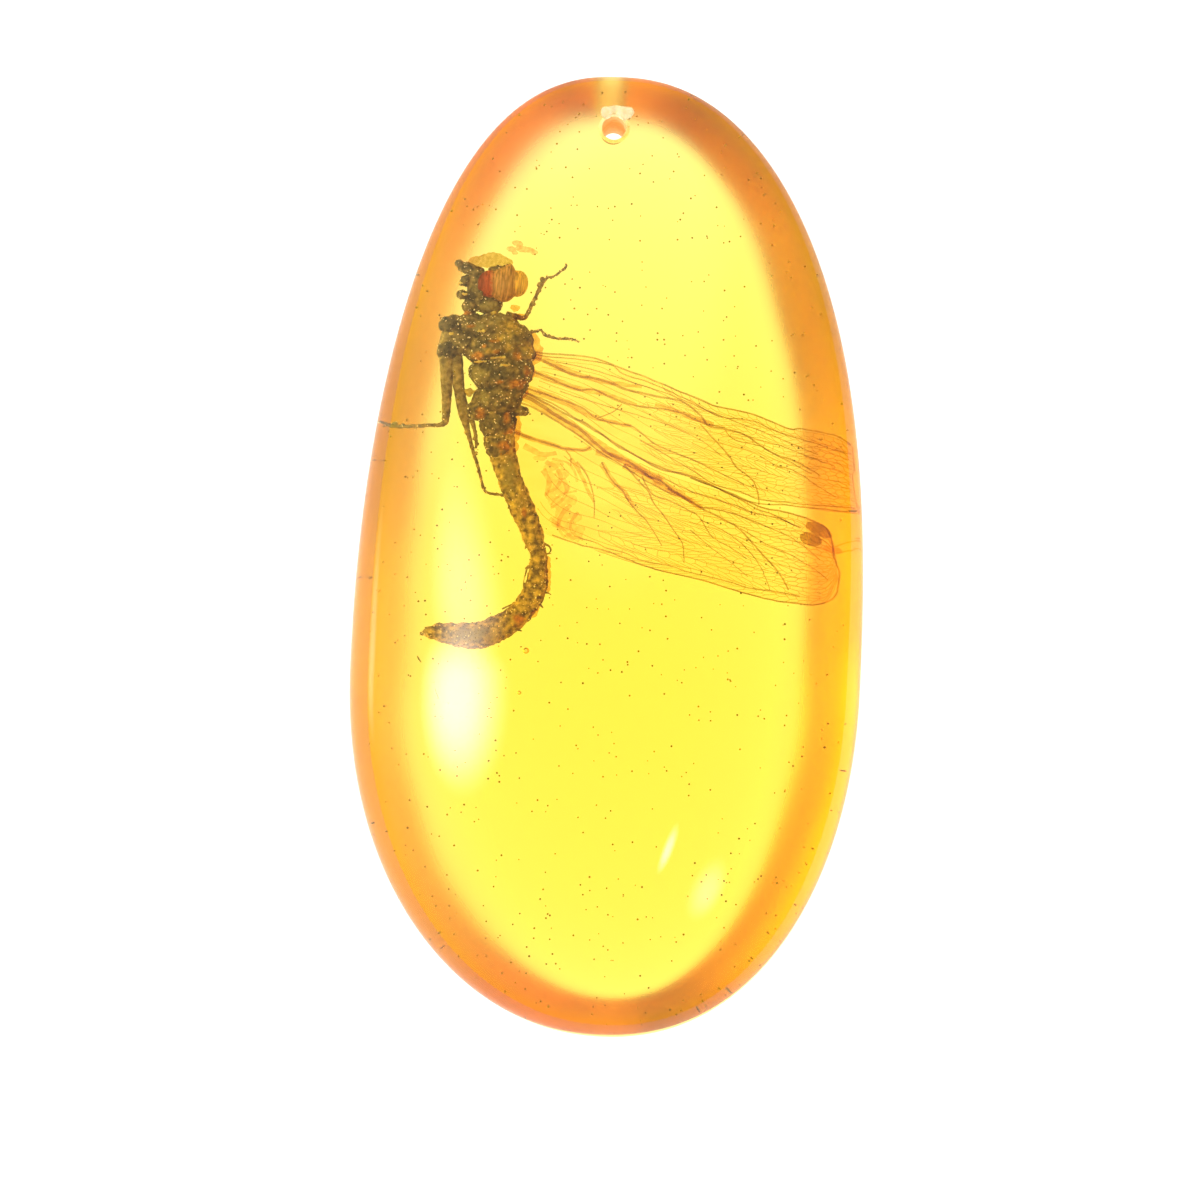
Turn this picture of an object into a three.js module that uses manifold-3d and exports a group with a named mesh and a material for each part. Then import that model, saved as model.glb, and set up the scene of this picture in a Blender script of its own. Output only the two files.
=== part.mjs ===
// An insect in amber: a clear golden drop with a flat back and a small cord hole at its narrow end,
// and a dragonfly sealed in it with a flake of debris. The drop is parted in two, and each half
// holds one side of the pocket that the dragonfly fills.

import * as THREE from 'three';
import { mergeVertices } from 'three/addons/utils/BufferGeometryUtils.js';
import Module from 'manifold-3d';

const wasm = await Module();
wasm.setup();

// Driving dimensions in millimetres: +Y runs to the drilled end, +Z is the domed front.

// The drop's outline, seen from the front
const LENGTH = 75;
const HALF_WIDTH = 19.9;
const WIDEST_Y = -9.5;
const NARROW_END_POWER = 2.3;
const BROAD_END_POWER = 2.1;
const LEAN = 1.07;

// The drop's section: a low dome over a conical roll down to the flat back
const THICKNESS = 17;
const GIRTH_HEIGHT = 9.5;
const GIRTH_SLOPE = 0.03;
const TAPER = 0.0075;
const TAPER_BLEND = 8;
const FLAT_HALF_WIDTH = 8.5;
const FLAT_NARROW_REACH = 39;
const FLAT_BROAD_REACH = 16.5;
const ROLL_POWER = 1.45;
const OUTLINE_STEPS = 60;
const ROLL_STEPS = 6;
const DOME_STEPS = 7;

// The cord hole, leaning a little towards the broad end on its way to the back
const HOLE_X = -1.5;
const HOLE_Y = 33.4;
const HOLE_RADIUS = 0.97;
const HOLE_LEAN = 0.17;
const HOLE_CHIP_RADIUS = 1.5;
const HOLE_CHIP_DEPTH = 0.9;
const HOLE_MOUTH_Z = 9.0;

// The pocket and the plane where the drop is parted
const PARTING_Z = 7;
const PARTING_GAP = 0.3;
const CLEARANCE = 0.3;

// The dragonfly lies on its side, its middle a little above the parting plane
const INSECT_Z = 7.2;
const FORE_WING_Z = 7.35;
const HIND_WING_Z = 6.65;
const WING_THICKNESS = 0.3;
const VEIN_RADIUS = 0.26;
const STIGMA_RADIUS = 0.34;

// Ellipsoids of head and thorax: centre x, y, height above the middle, then the three radii
const BODY_LUMPS = [
  { at: [-11.9, 20.1, 0], radii: [1.1, 2.2, 1.6] },
  { at: [-10.4, 20.5, 0], radii: [1.6, 1.8, 1.9] },
  { at: [-9.1, 20.4, 1.0], radii: [1.8, 1.5, 1.5] },
  { at: [-9.1, 20.4, -1.0], radii: [1.8, 1.5, 1.5] },
  { at: [-10.2, 18.4, 0], radii: [1.2, 1.6, 1.1] },
  { at: [-9.9, 16.8, 0], radii: [2.6, 1.5, 1.7] },
  { at: [-8.9, 13.9, 0], radii: [3.1, 3.6, 2.4] },
  { at: [-8.6, 10.3, 0], radii: [2.3, 3.1, 2.0] },
];

// Abdomen: x, y and radius at each joint between its segments, curling under to the tip
const ABDOMEN = [
  [-8.6, 8.8, 1.4],
  [-7.9, 6.4, 1.1],
  [-7.2, 4.0, 0.9],
  [-6.3, 2.0, 0.82],
  [-5.5, -0.2, 0.72],
  [-5.2, -2.4, 0.75],
  [-5.4, -4.6, 0.85],
  [-6.7, -6.3, 0.95],
  [-8.5, -7.0, 0.95],
  [-10.7, -7.1, 0.8],
  [-13.5, -7.0, 0.25],
];

const ABDOMEN_WAIST = 0.86;
const WAIST_REACH = 0.25;

// Legs: x, y and radius at each joint, the first point inside the thorax
const LEGS = [
  [[-11.0, 16.6, 0.8], [-13.5, 15.8, 0.75], [-12.9, 11.1, 0.6], [-12.7, 9.2, 0.42], [-16.6, 9.1, 0.2]],
  [[-10.6, 15.2, 0.7], [-12.1, 14.6, 0.65], [-11.4, 9.2, 0.5], [-9.7, 3.9, 0.2], [-8.2, 3.8, 0.2]],
  [[-10.4, 10.6, 0.4], [-11.2, 9.0, 0.35], [-10.4, 7.2, 0.2]],
  [[-9.0, 17.2, 0.4], [-7.4, 17.8, 0.34], [-6.1, 20.8, 0.28], [-4.6, 22.1, 0.2]],
  [[-7.6, 15.8, 0.3], [-6.4, 16.7, 0.26], [-5.4, 16.3, 0.22], [-3.3, 16.2, 0.2]],
];

// Wing outlines, from the front of the wing's root out to the tip and back along the hind edge
const FORE_WING = [
  [-6.6, 15.2], [-1.0, 14.4], [4.5, 13.1], [8.8, 11.1], [13.6, 10.4], [16.3, 9.4],
  [17.2, 7.6], [17.3, 5.2], [16.4, 4.0], [10.9, 4.2], [1.8, 7.9], [-6.8, 11.6],
];
const HIND_WING = [
  [-7.2, 11.6], [0.2, 8.7], [6.4, 5.1], [10.9, 3.1], [13.9, 2.5], [16.2, 0.8],
  [16.5, -1.3], [15.1, -3.0], [6.6, -1.6], [2.2, -0.7], [-0.8, 0.1], [-4.6, 1.9], [-6.9, 7.6],
];

// Main veins of each wing, from the root towards the rim
const FORE_VEINS = [
  [[-6.6, 15.2], [4.5, 12.9], [8.8, 10.9], [16.1, 9.1]],
  [[-6.6, 14.2], [3.0, 11.6], [9.0, 9.2], [17.0, 7.2]],
  [[-6.6, 13.4], [2.0, 10.2], [9.0, 7.2], [17.0, 5.4]],
  [[-6.6, 12.4], [2.0, 8.6], [8.0, 5.8], [16.2, 4.2]],
];
const HIND_VEINS = [
  [[-7.0, 11.5], [0.2, 8.4], [6.4, 4.8], [13.9, 2.3]],
  [[-7.0, 10.8], [-1.6, 8.0], [3.0, 5.4], [7.0, 3.2], [15.8, -1.4]],
  [[-5.6, 8.6], [-1.6, 7.4], [2.0, 3.0], [8.0, -0.6], [14.6, -2.8]],
  [[-5.6, 8.2], [-2.6, 6.4], [-0.6, 2.6], [2.2, -0.4]],
];
const STIGMA = [[13.7, 2.3], [15.6, 1.2]];

// The flake of debris above the head
const FLAKE = [[-9.2, 23.3], [-8.3, 23.9], [-6.9, 23.4], [-7.3, 22.9], [-8.4, 22.8]];
const FLAKE_THICKNESS = 0.4;

// Facet counts
const LUMP_SIDES = 10;
const LUMP_RINGS = 7;
const SEGMENT_SIDES = 8;
const LEG_SIDES = 6;
const VEIN_SIDES = 4;
const VEIN_STEPS = 5;
const HOLE_SIDES = 16;

const NARROW_REACH = LENGTH / 2 - WIDEST_Y;
const BROAD_REACH = LENGTH / 2 + WIDEST_Y;
const TOOL_REACH = LENGTH * 2;

const amberMaterial = new THREE.MeshStandardMaterial({ color: 0xf5b820, roughness: 0.08, metalness: 0 });
const insectMaterial = new THREE.MeshStandardMaterial({ color: 0x33240f, roughness: 0.6, metalness: 0 });
const flakeMaterial = new THREE.MeshStandardMaterial({ color: 0xc46a32, roughness: 0.7, metalness: 0 });

// A closed geometry as a solid: shared vertices merged and collapsed triangles dropped
function solidOf(geometry) {
  const bare = new THREE.BufferGeometry();
  bare.setAttribute('position', geometry.getAttribute('position'));
  if (geometry.index) bare.setIndex(geometry.index);
  const merged = mergeVertices(bare, 1e-4);
  const corners = merged.index.array;
  const triVerts = [];
  for (let i = 0; i < corners.length; i += 3) {
    const [a, b, c] = [corners[i], corners[i + 1], corners[i + 2]];
    if (a !== b && b !== c && c !== a) triVerts.push(a, b, c);
  }
  return new wasm.Manifold(new wasm.Mesh({
    numProp: 3,
    vertProperties: new Float32Array(merged.getAttribute('position').array),
    triVerts: new Uint32Array(triVerts),
  }));
}

function unite(solids) {
  return solids.reduce((whole, solid) => whole.add(solid));
}

function nodeOf(name, solid, material) {
  const mesh = solid.getMesh();
  const geometry = new THREE.BufferGeometry();
  geometry.setAttribute('position', new THREE.BufferAttribute(new Float32Array(mesh.vertProperties), 3));
  geometry.setIndex(new THREE.BufferAttribute(new Uint32Array(mesh.triVerts), 1));
  geometry.computeVertexNormals();
  const node = new THREE.Mesh(geometry, material);
  node.name = name;
  return node;
}

// The amber drop

function signedPower(value, power) {
  return Math.sign(value) * Math.abs(value) ** power;
}

// A point of an egg-shaped outline about the middle of the widest line
function eggPoint(angle, halfWidth, narrowReach, broadReach) {
  const alongY = Math.sin(angle);
  const power = 2 / (alongY > 0 ? NARROW_END_POWER : BROAD_END_POWER);
  const reach = alongY > 0 ? narrowReach : broadReach;
  const x = halfWidth * signedPower(Math.cos(angle), power);
  const y = reach * signedPower(alongY, power);
  return new THREE.Vector2(x, y);
}

// The front slopes down from the widest line to the narrow end
function taperAt(y) {
  const along = Math.max(0, y - WIDEST_Y);
  return 1 - (TAPER * along ** 2) / (along + TAPER_BLEND);
}

// Half a section of the drop in shares: out along the back to 0.5, up the roll to 1, in over the dome
function dropProfile() {
  const points = [new THREE.Vector2(0, 0)];
  for (let i = 0; i <= ROLL_STEPS; i += 1) {
    const turn = (Math.PI / 2) * (i / ROLL_STEPS);
    const out = Math.sin(turn) ** (2 / ROLL_POWER);
    const up = 1 - Math.cos(turn) ** (2 / ROLL_POWER);
    points.push(new THREE.Vector2(0.5 + 0.5 * out, up));
  }
  for (let i = 1; i <= DOME_STEPS; i += 1) {
    const turn = (Math.PI / 2) * (i / DOME_STEPS);
    points.push(new THREE.Vector2(Math.cos(turn), 1 + Math.sin(turn)));
  }
  points[points.length - 1].x = 0;
  return points;
}

function amberDrop() {
  const geometry = new THREE.LatheGeometry(dropProfile(), OUTLINE_STEPS);
  geometry.rotateX(Math.PI / 2);
  const position = geometry.getAttribute('position');
  for (let i = 0; i < position.count; i += 1) {
    const out = Math.hypot(position.getX(i), position.getY(i));
    const angle = Math.atan2(position.getY(i), position.getX(i));
    const level = position.getZ(i);
    const rim = eggPoint(angle, HALF_WIDTH, NARROW_REACH, BROAD_REACH);
    const flat = eggPoint(angle, FLAT_HALF_WIDTH, FLAT_NARROW_REACH, FLAT_BROAD_REACH);
    const point = rim.clone().multiplyScalar(out);
    if (level < 1e-6) point.copy(flat).multiplyScalar(2 * out);
    else if (level <= 1) point.copy(flat).lerp(rim, 2 * out - 1);
    const y = WIDEST_Y + point.y;
    const x = point.x - LEAN * (y / (LENGTH / 2)) ** 3;
    const girth = (GIRTH_HEIGHT + GIRTH_SLOPE * rim.x) * taperAt(WIDEST_Y + rim.y);
    const crown = THICKNESS * taperAt(y) - girth;
    const z = level <= 1 ? girth * level : girth + crown * (level - 1);
    position.setXYZ(i, x, y, z);
  }
  return solidOf(geometry);
}

function cordHole() {
  const bore = new THREE.CylinderGeometry(HOLE_RADIUS, HOLE_RADIUS, LENGTH, HOLE_SIDES);
  const chip = new THREE.CylinderGeometry(HOLE_CHIP_RADIUS, HOLE_RADIUS, HOLE_CHIP_DEPTH, HOLE_SIDES);
  const tools = [bore, chip].map((tool) => {
    tool.rotateX(Math.PI / 2 - HOLE_LEAN);
    tool.translate(HOLE_X, HOLE_Y, HOLE_MOUTH_Z);
    return solidOf(tool);
  });
  return unite(tools);
}

// The dragonfly: every shape can be grown by a margin, which makes the pocket around it

function lumpSolid({ at, radii }, margin) {
  const ball = new THREE.SphereGeometry(1, LUMP_SIDES, LUMP_RINGS);
  ball.scale(radii[0] + margin, radii[1] + margin, radii[2] + margin);
  ball.translate(at[0], at[1], INSECT_Z + at[2]);
  return solidOf(ball);
}

// Rings of a jointed tube: narrow at each joint, full a little to both sides of it
function ringsOf(joints, waist) {
  const rings = [];
  joints.forEach(([x, y, radius], i) => {
    rings.push([x, y, radius * waist]);
    if (waist === 1 || i === joints.length - 1) return;
    const [nextX, nextY, nextRadius] = joints[i + 1];
    [WAIST_REACH, 1 - WAIST_REACH].forEach((share) => {
      const lerp = (from, to) => from + (to - from) * share;
      rings.push([lerp(x, nextX), lerp(y, nextY), lerp(radius, nextRadius)]);
    });
  });
  return rings;
}

// A tube through rings in the insect's middle plane, each ring set across the bend it lies on
function tubeSolid(rings, sides, margin) {
  const last = rings.length - 1;
  const centres = rings.map(([x, y]) => new THREE.Vector3(x, y, INSECT_Z));
  const stretchAt = (i) => centres[i].clone().sub(centres[i + 1]).normalize();
  const up = new THREE.Vector3(0, 0, 1);
  const tube = new THREE.CylinderGeometry(1, 1, 1, sides, last);
  const position = tube.getAttribute('position');
  for (let i = 0; i < position.count; i += 1) {
    const row = Math.round((0.5 - position.getY(i)) * last);
    const before = stretchAt(Math.max(row - 1, 0));
    const axis = before.clone().add(stretchAt(Math.min(row, last - 1))).normalize();
    const across = axis.clone().cross(up);
    const radius = rings[row][2] + margin;
    const point = centres[row].clone();
    point.addScaledVector(across, (radius * position.getX(i)) / before.dot(axis));
    point.addScaledVector(up, radius * position.getZ(i));
    if (row === 0) point.addScaledVector(axis, margin);
    if (row === last) point.addScaledVector(axis, -margin);
    position.setXYZ(i, point.x, point.y, point.z);
  }
  return solidOf(tube);
}

// A flat plate in an outline, its edge and both faces moved out by the margin
function plateSolid(outline, middleZ, thickness, margin) {
  const shape = new THREE.Shape(outline.map(([x, y]) => new THREE.Vector2(x, y)));
  const grown = { bevelEnabled: margin > 0, bevelThickness: margin, bevelSize: margin, bevelSegments: 1 };
  const plate = new THREE.ExtrudeGeometry(shape, { depth: thickness, steps: 1, ...grown });
  plate.translate(0, 0, middleZ - thickness / 2);
  return solidOf(plate);
}

function veinSolid(points, middleZ, radius) {
  const path = new THREE.CatmullRomCurve3(points.map(([x, y]) => new THREE.Vector3(x, y, middleZ)));
  const corners = Array.from({ length: VEIN_SIDES }, (_, i) => (i * Math.PI * 2) / VEIN_SIDES);
  const section = new THREE.Shape(corners.map((turn) => (
    new THREE.Vector2(radius * Math.cos(turn), radius * Math.sin(turn)))));
  const options = { extrudePath: path, steps: VEIN_STEPS, bevelEnabled: false };
  return solidOf(new THREE.ExtrudeGeometry(section, options));
}

function dragonflySolid(margin) {
  const solids = BODY_LUMPS.map((lump) => lumpSolid(lump, margin));
  solids.push(tubeSolid(ringsOf(ABDOMEN, ABDOMEN_WAIST), SEGMENT_SIDES, margin));
  LEGS.forEach((leg) => solids.push(tubeSolid(ringsOf(leg, 1), LEG_SIDES, margin)));
  solids.push(plateSolid(FORE_WING, FORE_WING_Z, WING_THICKNESS, margin));
  solids.push(plateSolid(HIND_WING, HIND_WING_Z, WING_THICKNESS, margin));
  return unite(solids);
}

function veinSolids() {
  const fore = FORE_VEINS.map((vein) => veinSolid(vein, FORE_WING_Z, VEIN_RADIUS));
  const hind = HIND_VEINS.map((vein) => veinSolid(vein, HIND_WING_Z, VEIN_RADIUS));
  return [...fore, ...hind, veinSolid(STIGMA, HIND_WING_Z, STIGMA_RADIUS)];
}

// One half of the drop: the side of the parting plane that the direction points to
function halfOf(drop, direction) {
  const keep = new THREE.BoxGeometry(TOOL_REACH, TOOL_REACH, TOOL_REACH);
  keep.translate(0, 0, PARTING_Z + direction * (PARTING_GAP / 2 + TOOL_REACH / 2));
  return drop.intersect(solidOf(keep));
}

const pocket = dragonflySolid(CLEARANCE).add(plateSolid(FLAKE, PARTING_Z, FLAKE_THICKNESS, CLEARANCE));
const drop = amberDrop().subtract(cordHole()).subtract(pocket);
const dragonfly = unite([dragonflySolid(0), ...veinSolids()]);

const insectInAmber = new THREE.Group();
insectInAmber.name = 'insect_in_amber';
insectInAmber.add(nodeOf('amber_front', halfOf(drop, 1), amberMaterial));
insectInAmber.add(nodeOf('amber_back', halfOf(drop, -1), amberMaterial));
insectInAmber.add(nodeOf('dragonfly', dragonfly, insectMaterial));
insectInAmber.add(nodeOf('debris_flake', plateSolid(FLAKE, PARTING_Z, FLAKE_THICKNESS, 0), flakeMaterial));

export default insectInAmber;
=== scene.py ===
# %% [markdown]
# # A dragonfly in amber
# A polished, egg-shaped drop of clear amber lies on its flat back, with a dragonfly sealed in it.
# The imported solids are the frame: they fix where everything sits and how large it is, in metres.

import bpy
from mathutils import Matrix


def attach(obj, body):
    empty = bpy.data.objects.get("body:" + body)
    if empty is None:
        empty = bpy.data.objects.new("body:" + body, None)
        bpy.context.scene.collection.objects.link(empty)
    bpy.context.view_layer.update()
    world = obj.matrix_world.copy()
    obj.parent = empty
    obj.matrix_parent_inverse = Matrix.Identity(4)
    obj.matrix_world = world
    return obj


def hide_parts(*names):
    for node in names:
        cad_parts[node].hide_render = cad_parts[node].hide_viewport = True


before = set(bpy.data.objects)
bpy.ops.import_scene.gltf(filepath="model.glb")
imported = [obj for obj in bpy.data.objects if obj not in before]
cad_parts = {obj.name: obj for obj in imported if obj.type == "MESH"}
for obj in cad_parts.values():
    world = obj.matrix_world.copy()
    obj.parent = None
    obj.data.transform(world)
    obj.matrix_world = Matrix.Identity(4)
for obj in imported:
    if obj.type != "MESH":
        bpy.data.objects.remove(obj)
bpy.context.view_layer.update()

# %% Modules and the unit
import math
import random

import bmesh
import bpy
from mathutils import Matrix, Vector, noise
from mathutils.bvhtree import BVHTree

MM = 0.001
scene = bpy.context.scene
SEED = 11
draw = random.Random(SEED)
# Vector noise starts from the clock unless it is given a seed.
noise.seed_set(SEED)

# %% [markdown]
# ## The camera
# The picture looks straight down on the drop, which lies turned by three degrees in it.
# A long lens from half a metre keeps the sides of the drop nearly parallel, as in a catalogue picture.
# The drop's real length against its length in pixels gives the size of one pixel, and with it the
# distance of the lens. Every pixel named later is in the same picture of 1200 by 1200.

# %% Camera
LENGTH = 75.0
DROP_SPAN_PX = 960.0
IMAGE_PX = 1200
DROP_MIDDLE_PX = Vector((610.9, 555.4))
PICTURE_TURN = math.radians(3)
PICTURE_HEIGHT = 8.0
LENS = 180.0
SENSOR = 36.0

PX = LENGTH / DROP_SPAN_PX
RIGHT = Vector((math.cos(PICTURE_TURN), math.sin(PICTURE_TURN), 0))
UP = Vector((-math.sin(PICTURE_TURN), math.cos(PICTURE_TURN), 0))


def on_picture_plane(pixel):
    """The point, in mm, that a pixel would show if nothing bent the light."""
    offset = (Vector(pixel) - DROP_MIDDLE_PX) * PX
    return RIGHT * offset.x - UP * offset.y + Vector((0, 0, PICTURE_HEIGHT))


eye = on_picture_plane((IMAGE_PX / 2, IMAGE_PX / 2))
eye.z += LENS / SENSOR * IMAGE_PX * PX
camera_data = bpy.data.cameras.new("camera")
camera_data.lens = LENS
camera_data.sensor_width = SENSOR
camera = bpy.data.objects.new("camera", camera_data)
camera.location = eye * MM
camera.rotation_euler.z = PICTURE_TURN
scene.collection.objects.link(camera)
scene.camera = camera
print("pixel", round(PX, 4), "mm, lens at", [round(value, 1) for value in eye], "mm")

# %% [markdown]
# ## Small helpers for materials and pieces
# A material is a small graph of nodes. These helpers add a node with its values by name, lay a noise
# over the piece in its own coordinates, and colour it with a ramp, so that each finish further down
# is only a few lines. A finished piece rides on the one body.

# %% Helpers for materials
def add_node(tree, kind, **values):
    """A shader node with its input values by name, where _ stands for a space."""
    made = tree.nodes.new("ShaderNode" + kind)
    for name, value in values.items():
        made.inputs[name.replace("_", " ")].default_value = value
    return made


def new_finish(name, **values):
    """A material with these values on its main shader; returns the material, its tree and the shader."""
    material = bpy.data.materials.new(name)
    material.use_nodes = True
    tree = material.node_tree
    shader = tree.nodes["Principled BSDF"]
    for key, value in values.items():
        shader.inputs[key.replace("_", " ")].default_value = value
    return material, tree, shader


def grain(tree, size, detail=4.0, stretch=(1, 1, 1)):
    """Noise in the piece's own coordinates with features of that size in mm."""
    coords = add_node(tree, "TexCoord")
    mapping = add_node(tree, "Mapping", Scale=stretch)
    pattern = add_node(tree, "TexNoise", Scale=1 / (size * MM), Detail=detail)
    tree.links.new(coords.outputs["Object"], mapping.inputs["Vector"])
    tree.links.new(mapping.outputs["Vector"], pattern.inputs["Vector"])
    return pattern.outputs["Fac"]


def ramp(tree, share, *stops):
    """Colours set along a share from 0 to 1, each stop a place and a colour."""
    made = add_node(tree, "ValToRGB")
    elements = made.color_ramp.elements
    while len(elements) < len(stops):
        elements.new(0.5)
    for element, (place, colour) in zip(elements, stops):
        element.position = place
        element.color = (*colour, 1)
    tree.links.new(share, made.inputs["Fac"])
    return made.outputs["Color"]


def bump(tree, shader, height, depth):
    """Relief of that depth in mm, from a height between 0 and 1."""
    made = add_node(tree, "Bump", Strength=1.0, Distance=depth * MM)
    tree.links.new(height, made.inputs["Height"])
    tree.links.new(made.outputs["Normal"], shader.inputs["Normal"])


# %% Helper for pieces
def piece_from(bm, name, material, slot, *nodes):
    """A smooth, closed piece with its faces outwards, which stands for those nodes of the frame."""
    bmesh.ops.recalc_face_normals(bm, faces=bm.faces)
    mesh = bpy.data.meshes.new(name)
    bm.to_mesh(mesh)
    bm.free()
    mesh.shade_smooth()
    mesh.materials.append(material)
    piece = bpy.data.objects.new(name, mesh)
    scene.collection.objects.link(piece)
    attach(piece, "root")
    if nodes:
        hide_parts(*nodes)
    print(name, len(mesh.vertices), "vertices,", len(mesh.polygons), "faces")
    return piece


def evaluated_mesh(piece):
    """The mesh of an object with its modifiers applied."""
    graph = bpy.context.evaluated_depsgraph_get()
    return bpy.data.meshes.new_from_object(piece.evaluated_get(graph))


# %% [markdown]
# ## The amber drop
# The real drop is one clear piece: a low dome over a conical roll, down to a flat back.
# It could be sculpted, but then it would drift from the solids. Here half a section is spun round
# into a lens, and each point is then moved out to the egg-shaped outline by the same formula that
# made the solids. The roll matters most: light that meets it from inside is turned sideways and
# travels far through the resin, and that is what makes the deep orange rim. The hidden flat is a little
# larger than in the solids, because its edge sets how wide the rim looks.

# %% The drop's driving sizes
HALF_WIDTH = 19.9
WIDEST_Y = -9.5
NARROW_END_POWER = 2.3
BROAD_END_POWER = 2.1
LEAN = 1.07
THICKNESS = 17.0
GIRTH_HEIGHT = 9.5
GIRTH_SLOPE = 0.03
TAPER = 0.0075
TAPER_BLEND = 8.0
FLAT_HALF_WIDTH = 10.0
FLAT_NARROW_REACH = 40.5
FLAT_BROAD_REACH = 22.0
ROLL_POWER = 1.45
FLAT_SHIFT = Vector((1.4, -0.4))

NARROW_REACH = LENGTH / 2 - WIDEST_Y
BROAD_REACH = LENGTH / 2 + WIDEST_Y
print("the outline reaches", NARROW_REACH, "and", BROAD_REACH, "mm from its widest line")

# %% The outline and the slope of the front
def signed_power(value, power):
    return math.copysign(abs(value) ** power, value)


def egg_point(angle, half_width, narrow_reach, broad_reach):
    """A point of an egg-shaped outline about the middle of the widest line."""
    along = math.sin(angle)
    power = 2 / (NARROW_END_POWER if along > 0 else BROAD_END_POWER)
    reach = narrow_reach if along > 0 else broad_reach
    return Vector((half_width * signed_power(math.cos(angle), power), reach * signed_power(along, power)))


def taper_at(y):
    """The front slopes down from the widest line to the narrow end."""
    along = max(0.0, y - WIDEST_Y)
    return 1 - TAPER * along**2 / (along + TAPER_BLEND)


print("at the narrow end the front keeps", round(taper_at(LENGTH / 2), 2), "of its height")

# %% Half a section of the drop
FLAT_STEPS = 6
ROLL_STEPS = 40
DOME_STEPS = 60


def half_section():
    """Shares of the section: out along the back to 0.5, up the roll to 1, in over the dome."""
    points = [(0.5 * i / FLAT_STEPS, 0.0) for i in range(FLAT_STEPS)]
    for i in range(ROLL_STEPS + 1):
        turn = math.pi / 2 * i / ROLL_STEPS
        out = math.sin(turn) ** (2 / ROLL_POWER)
        up = 1 - abs(math.cos(turn)) ** (2 / ROLL_POWER)
        points.append((0.5 + 0.5 * out, up))
    for i in range(1, DOME_STEPS + 1):
        turn = math.pi / 2 * i / DOME_STEPS
        points.append((math.cos(turn), 1 + math.sin(turn)))
    return points


print("section", len(half_section()), "points")

# %% From the spun lens to the drop
WAVE_DEPTH = 0.22
WAVE_LENGTH = 9.0
ON_THE_FLAT = 1e-5


def drop_point(share):
    """The place in mm of a point of the spun lens, whose height is in shares of the section."""
    out = math.hypot(share.x, share.y)
    angle = math.atan2(share.y, share.x)
    level = share.z
    rim = egg_point(angle, HALF_WIDTH, NARROW_REACH, BROAD_REACH)
    flat = egg_point(angle, FLAT_HALF_WIDTH, FLAT_NARROW_REACH, FLAT_BROAD_REACH)
    point = rim * out
    if level < ON_THE_FLAT:
        point = flat * (2 * out) + FLAT_SHIFT
    elif level <= 1:
        point = (flat + FLAT_SHIFT).lerp(rim, 2 * out - 1)
    y = WIDEST_Y + point.y
    x = point.x - LEAN * (y / (LENGTH / 2)) ** 3
    girth = (GIRTH_HEIGHT + GIRTH_SLOPE * rim.x) * taper_at(WIDEST_Y + rim.y)
    if level > 1:
        return Vector((x, y, girth + (THICKNESS * taper_at(y) - girth) * (level - 1)))
    wave = WAVE_DEPTH * 4 * level * (1 - level) * noise.noise(Vector((x, y, 0)) / WAVE_LENGTH)
    return Vector((x, y, girth * level + wave))


# %% Spin the section and shape it
OUTLINE_STEPS = 240
SAME_PLACE = 1e-6

drop = bmesh.new()
section = [drop.verts.new((out, 0, up)) for out, up in half_section()]
lines = [drop.edges.new(pair) for pair in zip(section, section[1:])]
bmesh.ops.spin(drop, geom=section + lines, cent=(0, 0, 0), axis=(0, 0, 1), angle=math.tau,
               steps=OUTLINE_STEPS, use_merge=True)
bmesh.ops.remove_doubles(drop, verts=drop.verts, dist=SAME_PLACE)
for vertex in drop.verts:
    vertex.co = drop_point(vertex.co) * MM
print("drop", len(drop.verts), "vertices")

# %% [markdown]
# ## The amber's finish
# Clear amber is a plain see-through solid: full transmission, the refractive index of the resin and
# an absorption that takes blue light first, so thin places are yellow and long paths are orange.
# The dome is polished to a faint haze, while the back and the wall of the drilled hole are left ground.
# A ground back blurs what it mirrors, and that is why the rim shows soft orange and no sharp lines.
# A number on each point of the skin tells polished from ground, so one material covers the whole
# drop and light always leaves the resin through the material that it came in by.

# %% Amber
AMBER_IOR = 1.54
ABSORPTION = 172.0
ABSORBED_PER_METRE = (1.5, 18.5, 172.0)
POLISH_ROUGHNESS = 0.012
HAZE_PATCH = 6.0


def amber_finish():
    material, tree, shader = new_finish(
        "amber", Base_Color=(1, 1, 1, 1), IOR=AMBER_IOR, Transmission_Weight=1.0)
    haze = add_node(tree, "MapRange", To_Min=0.0, To_Max=POLISH_ROUGHNESS)
    tree.links.new(grain(tree, HAZE_PATCH), haze.inputs["Value"])
    ground = add_node(tree, "Attribute")
    ground.attribute_name = "ground"
    most = add_node(tree, "Math")
    most.operation = "MAXIMUM"
    tree.links.new(haze.outputs["Result"], most.inputs[0])
    tree.links.new(ground.outputs["Fac"], most.inputs[1])
    tree.links.new(most.outputs["Value"], shader.inputs["Roughness"])
    kept = [1 - share / ABSORPTION for share in ABSORBED_PER_METRE]
    resin = add_node(tree, "VolumeAbsorption", Color=(*kept, 1), Density=ABSORPTION)
    tree.links.new(resin.outputs["Volume"], tree.nodes["Material Output"].inputs["Volume"])
    return material


amber = piece_from(drop, "amber_drop", amber_finish(), "amber", "amber_front", "amber_back")
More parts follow.
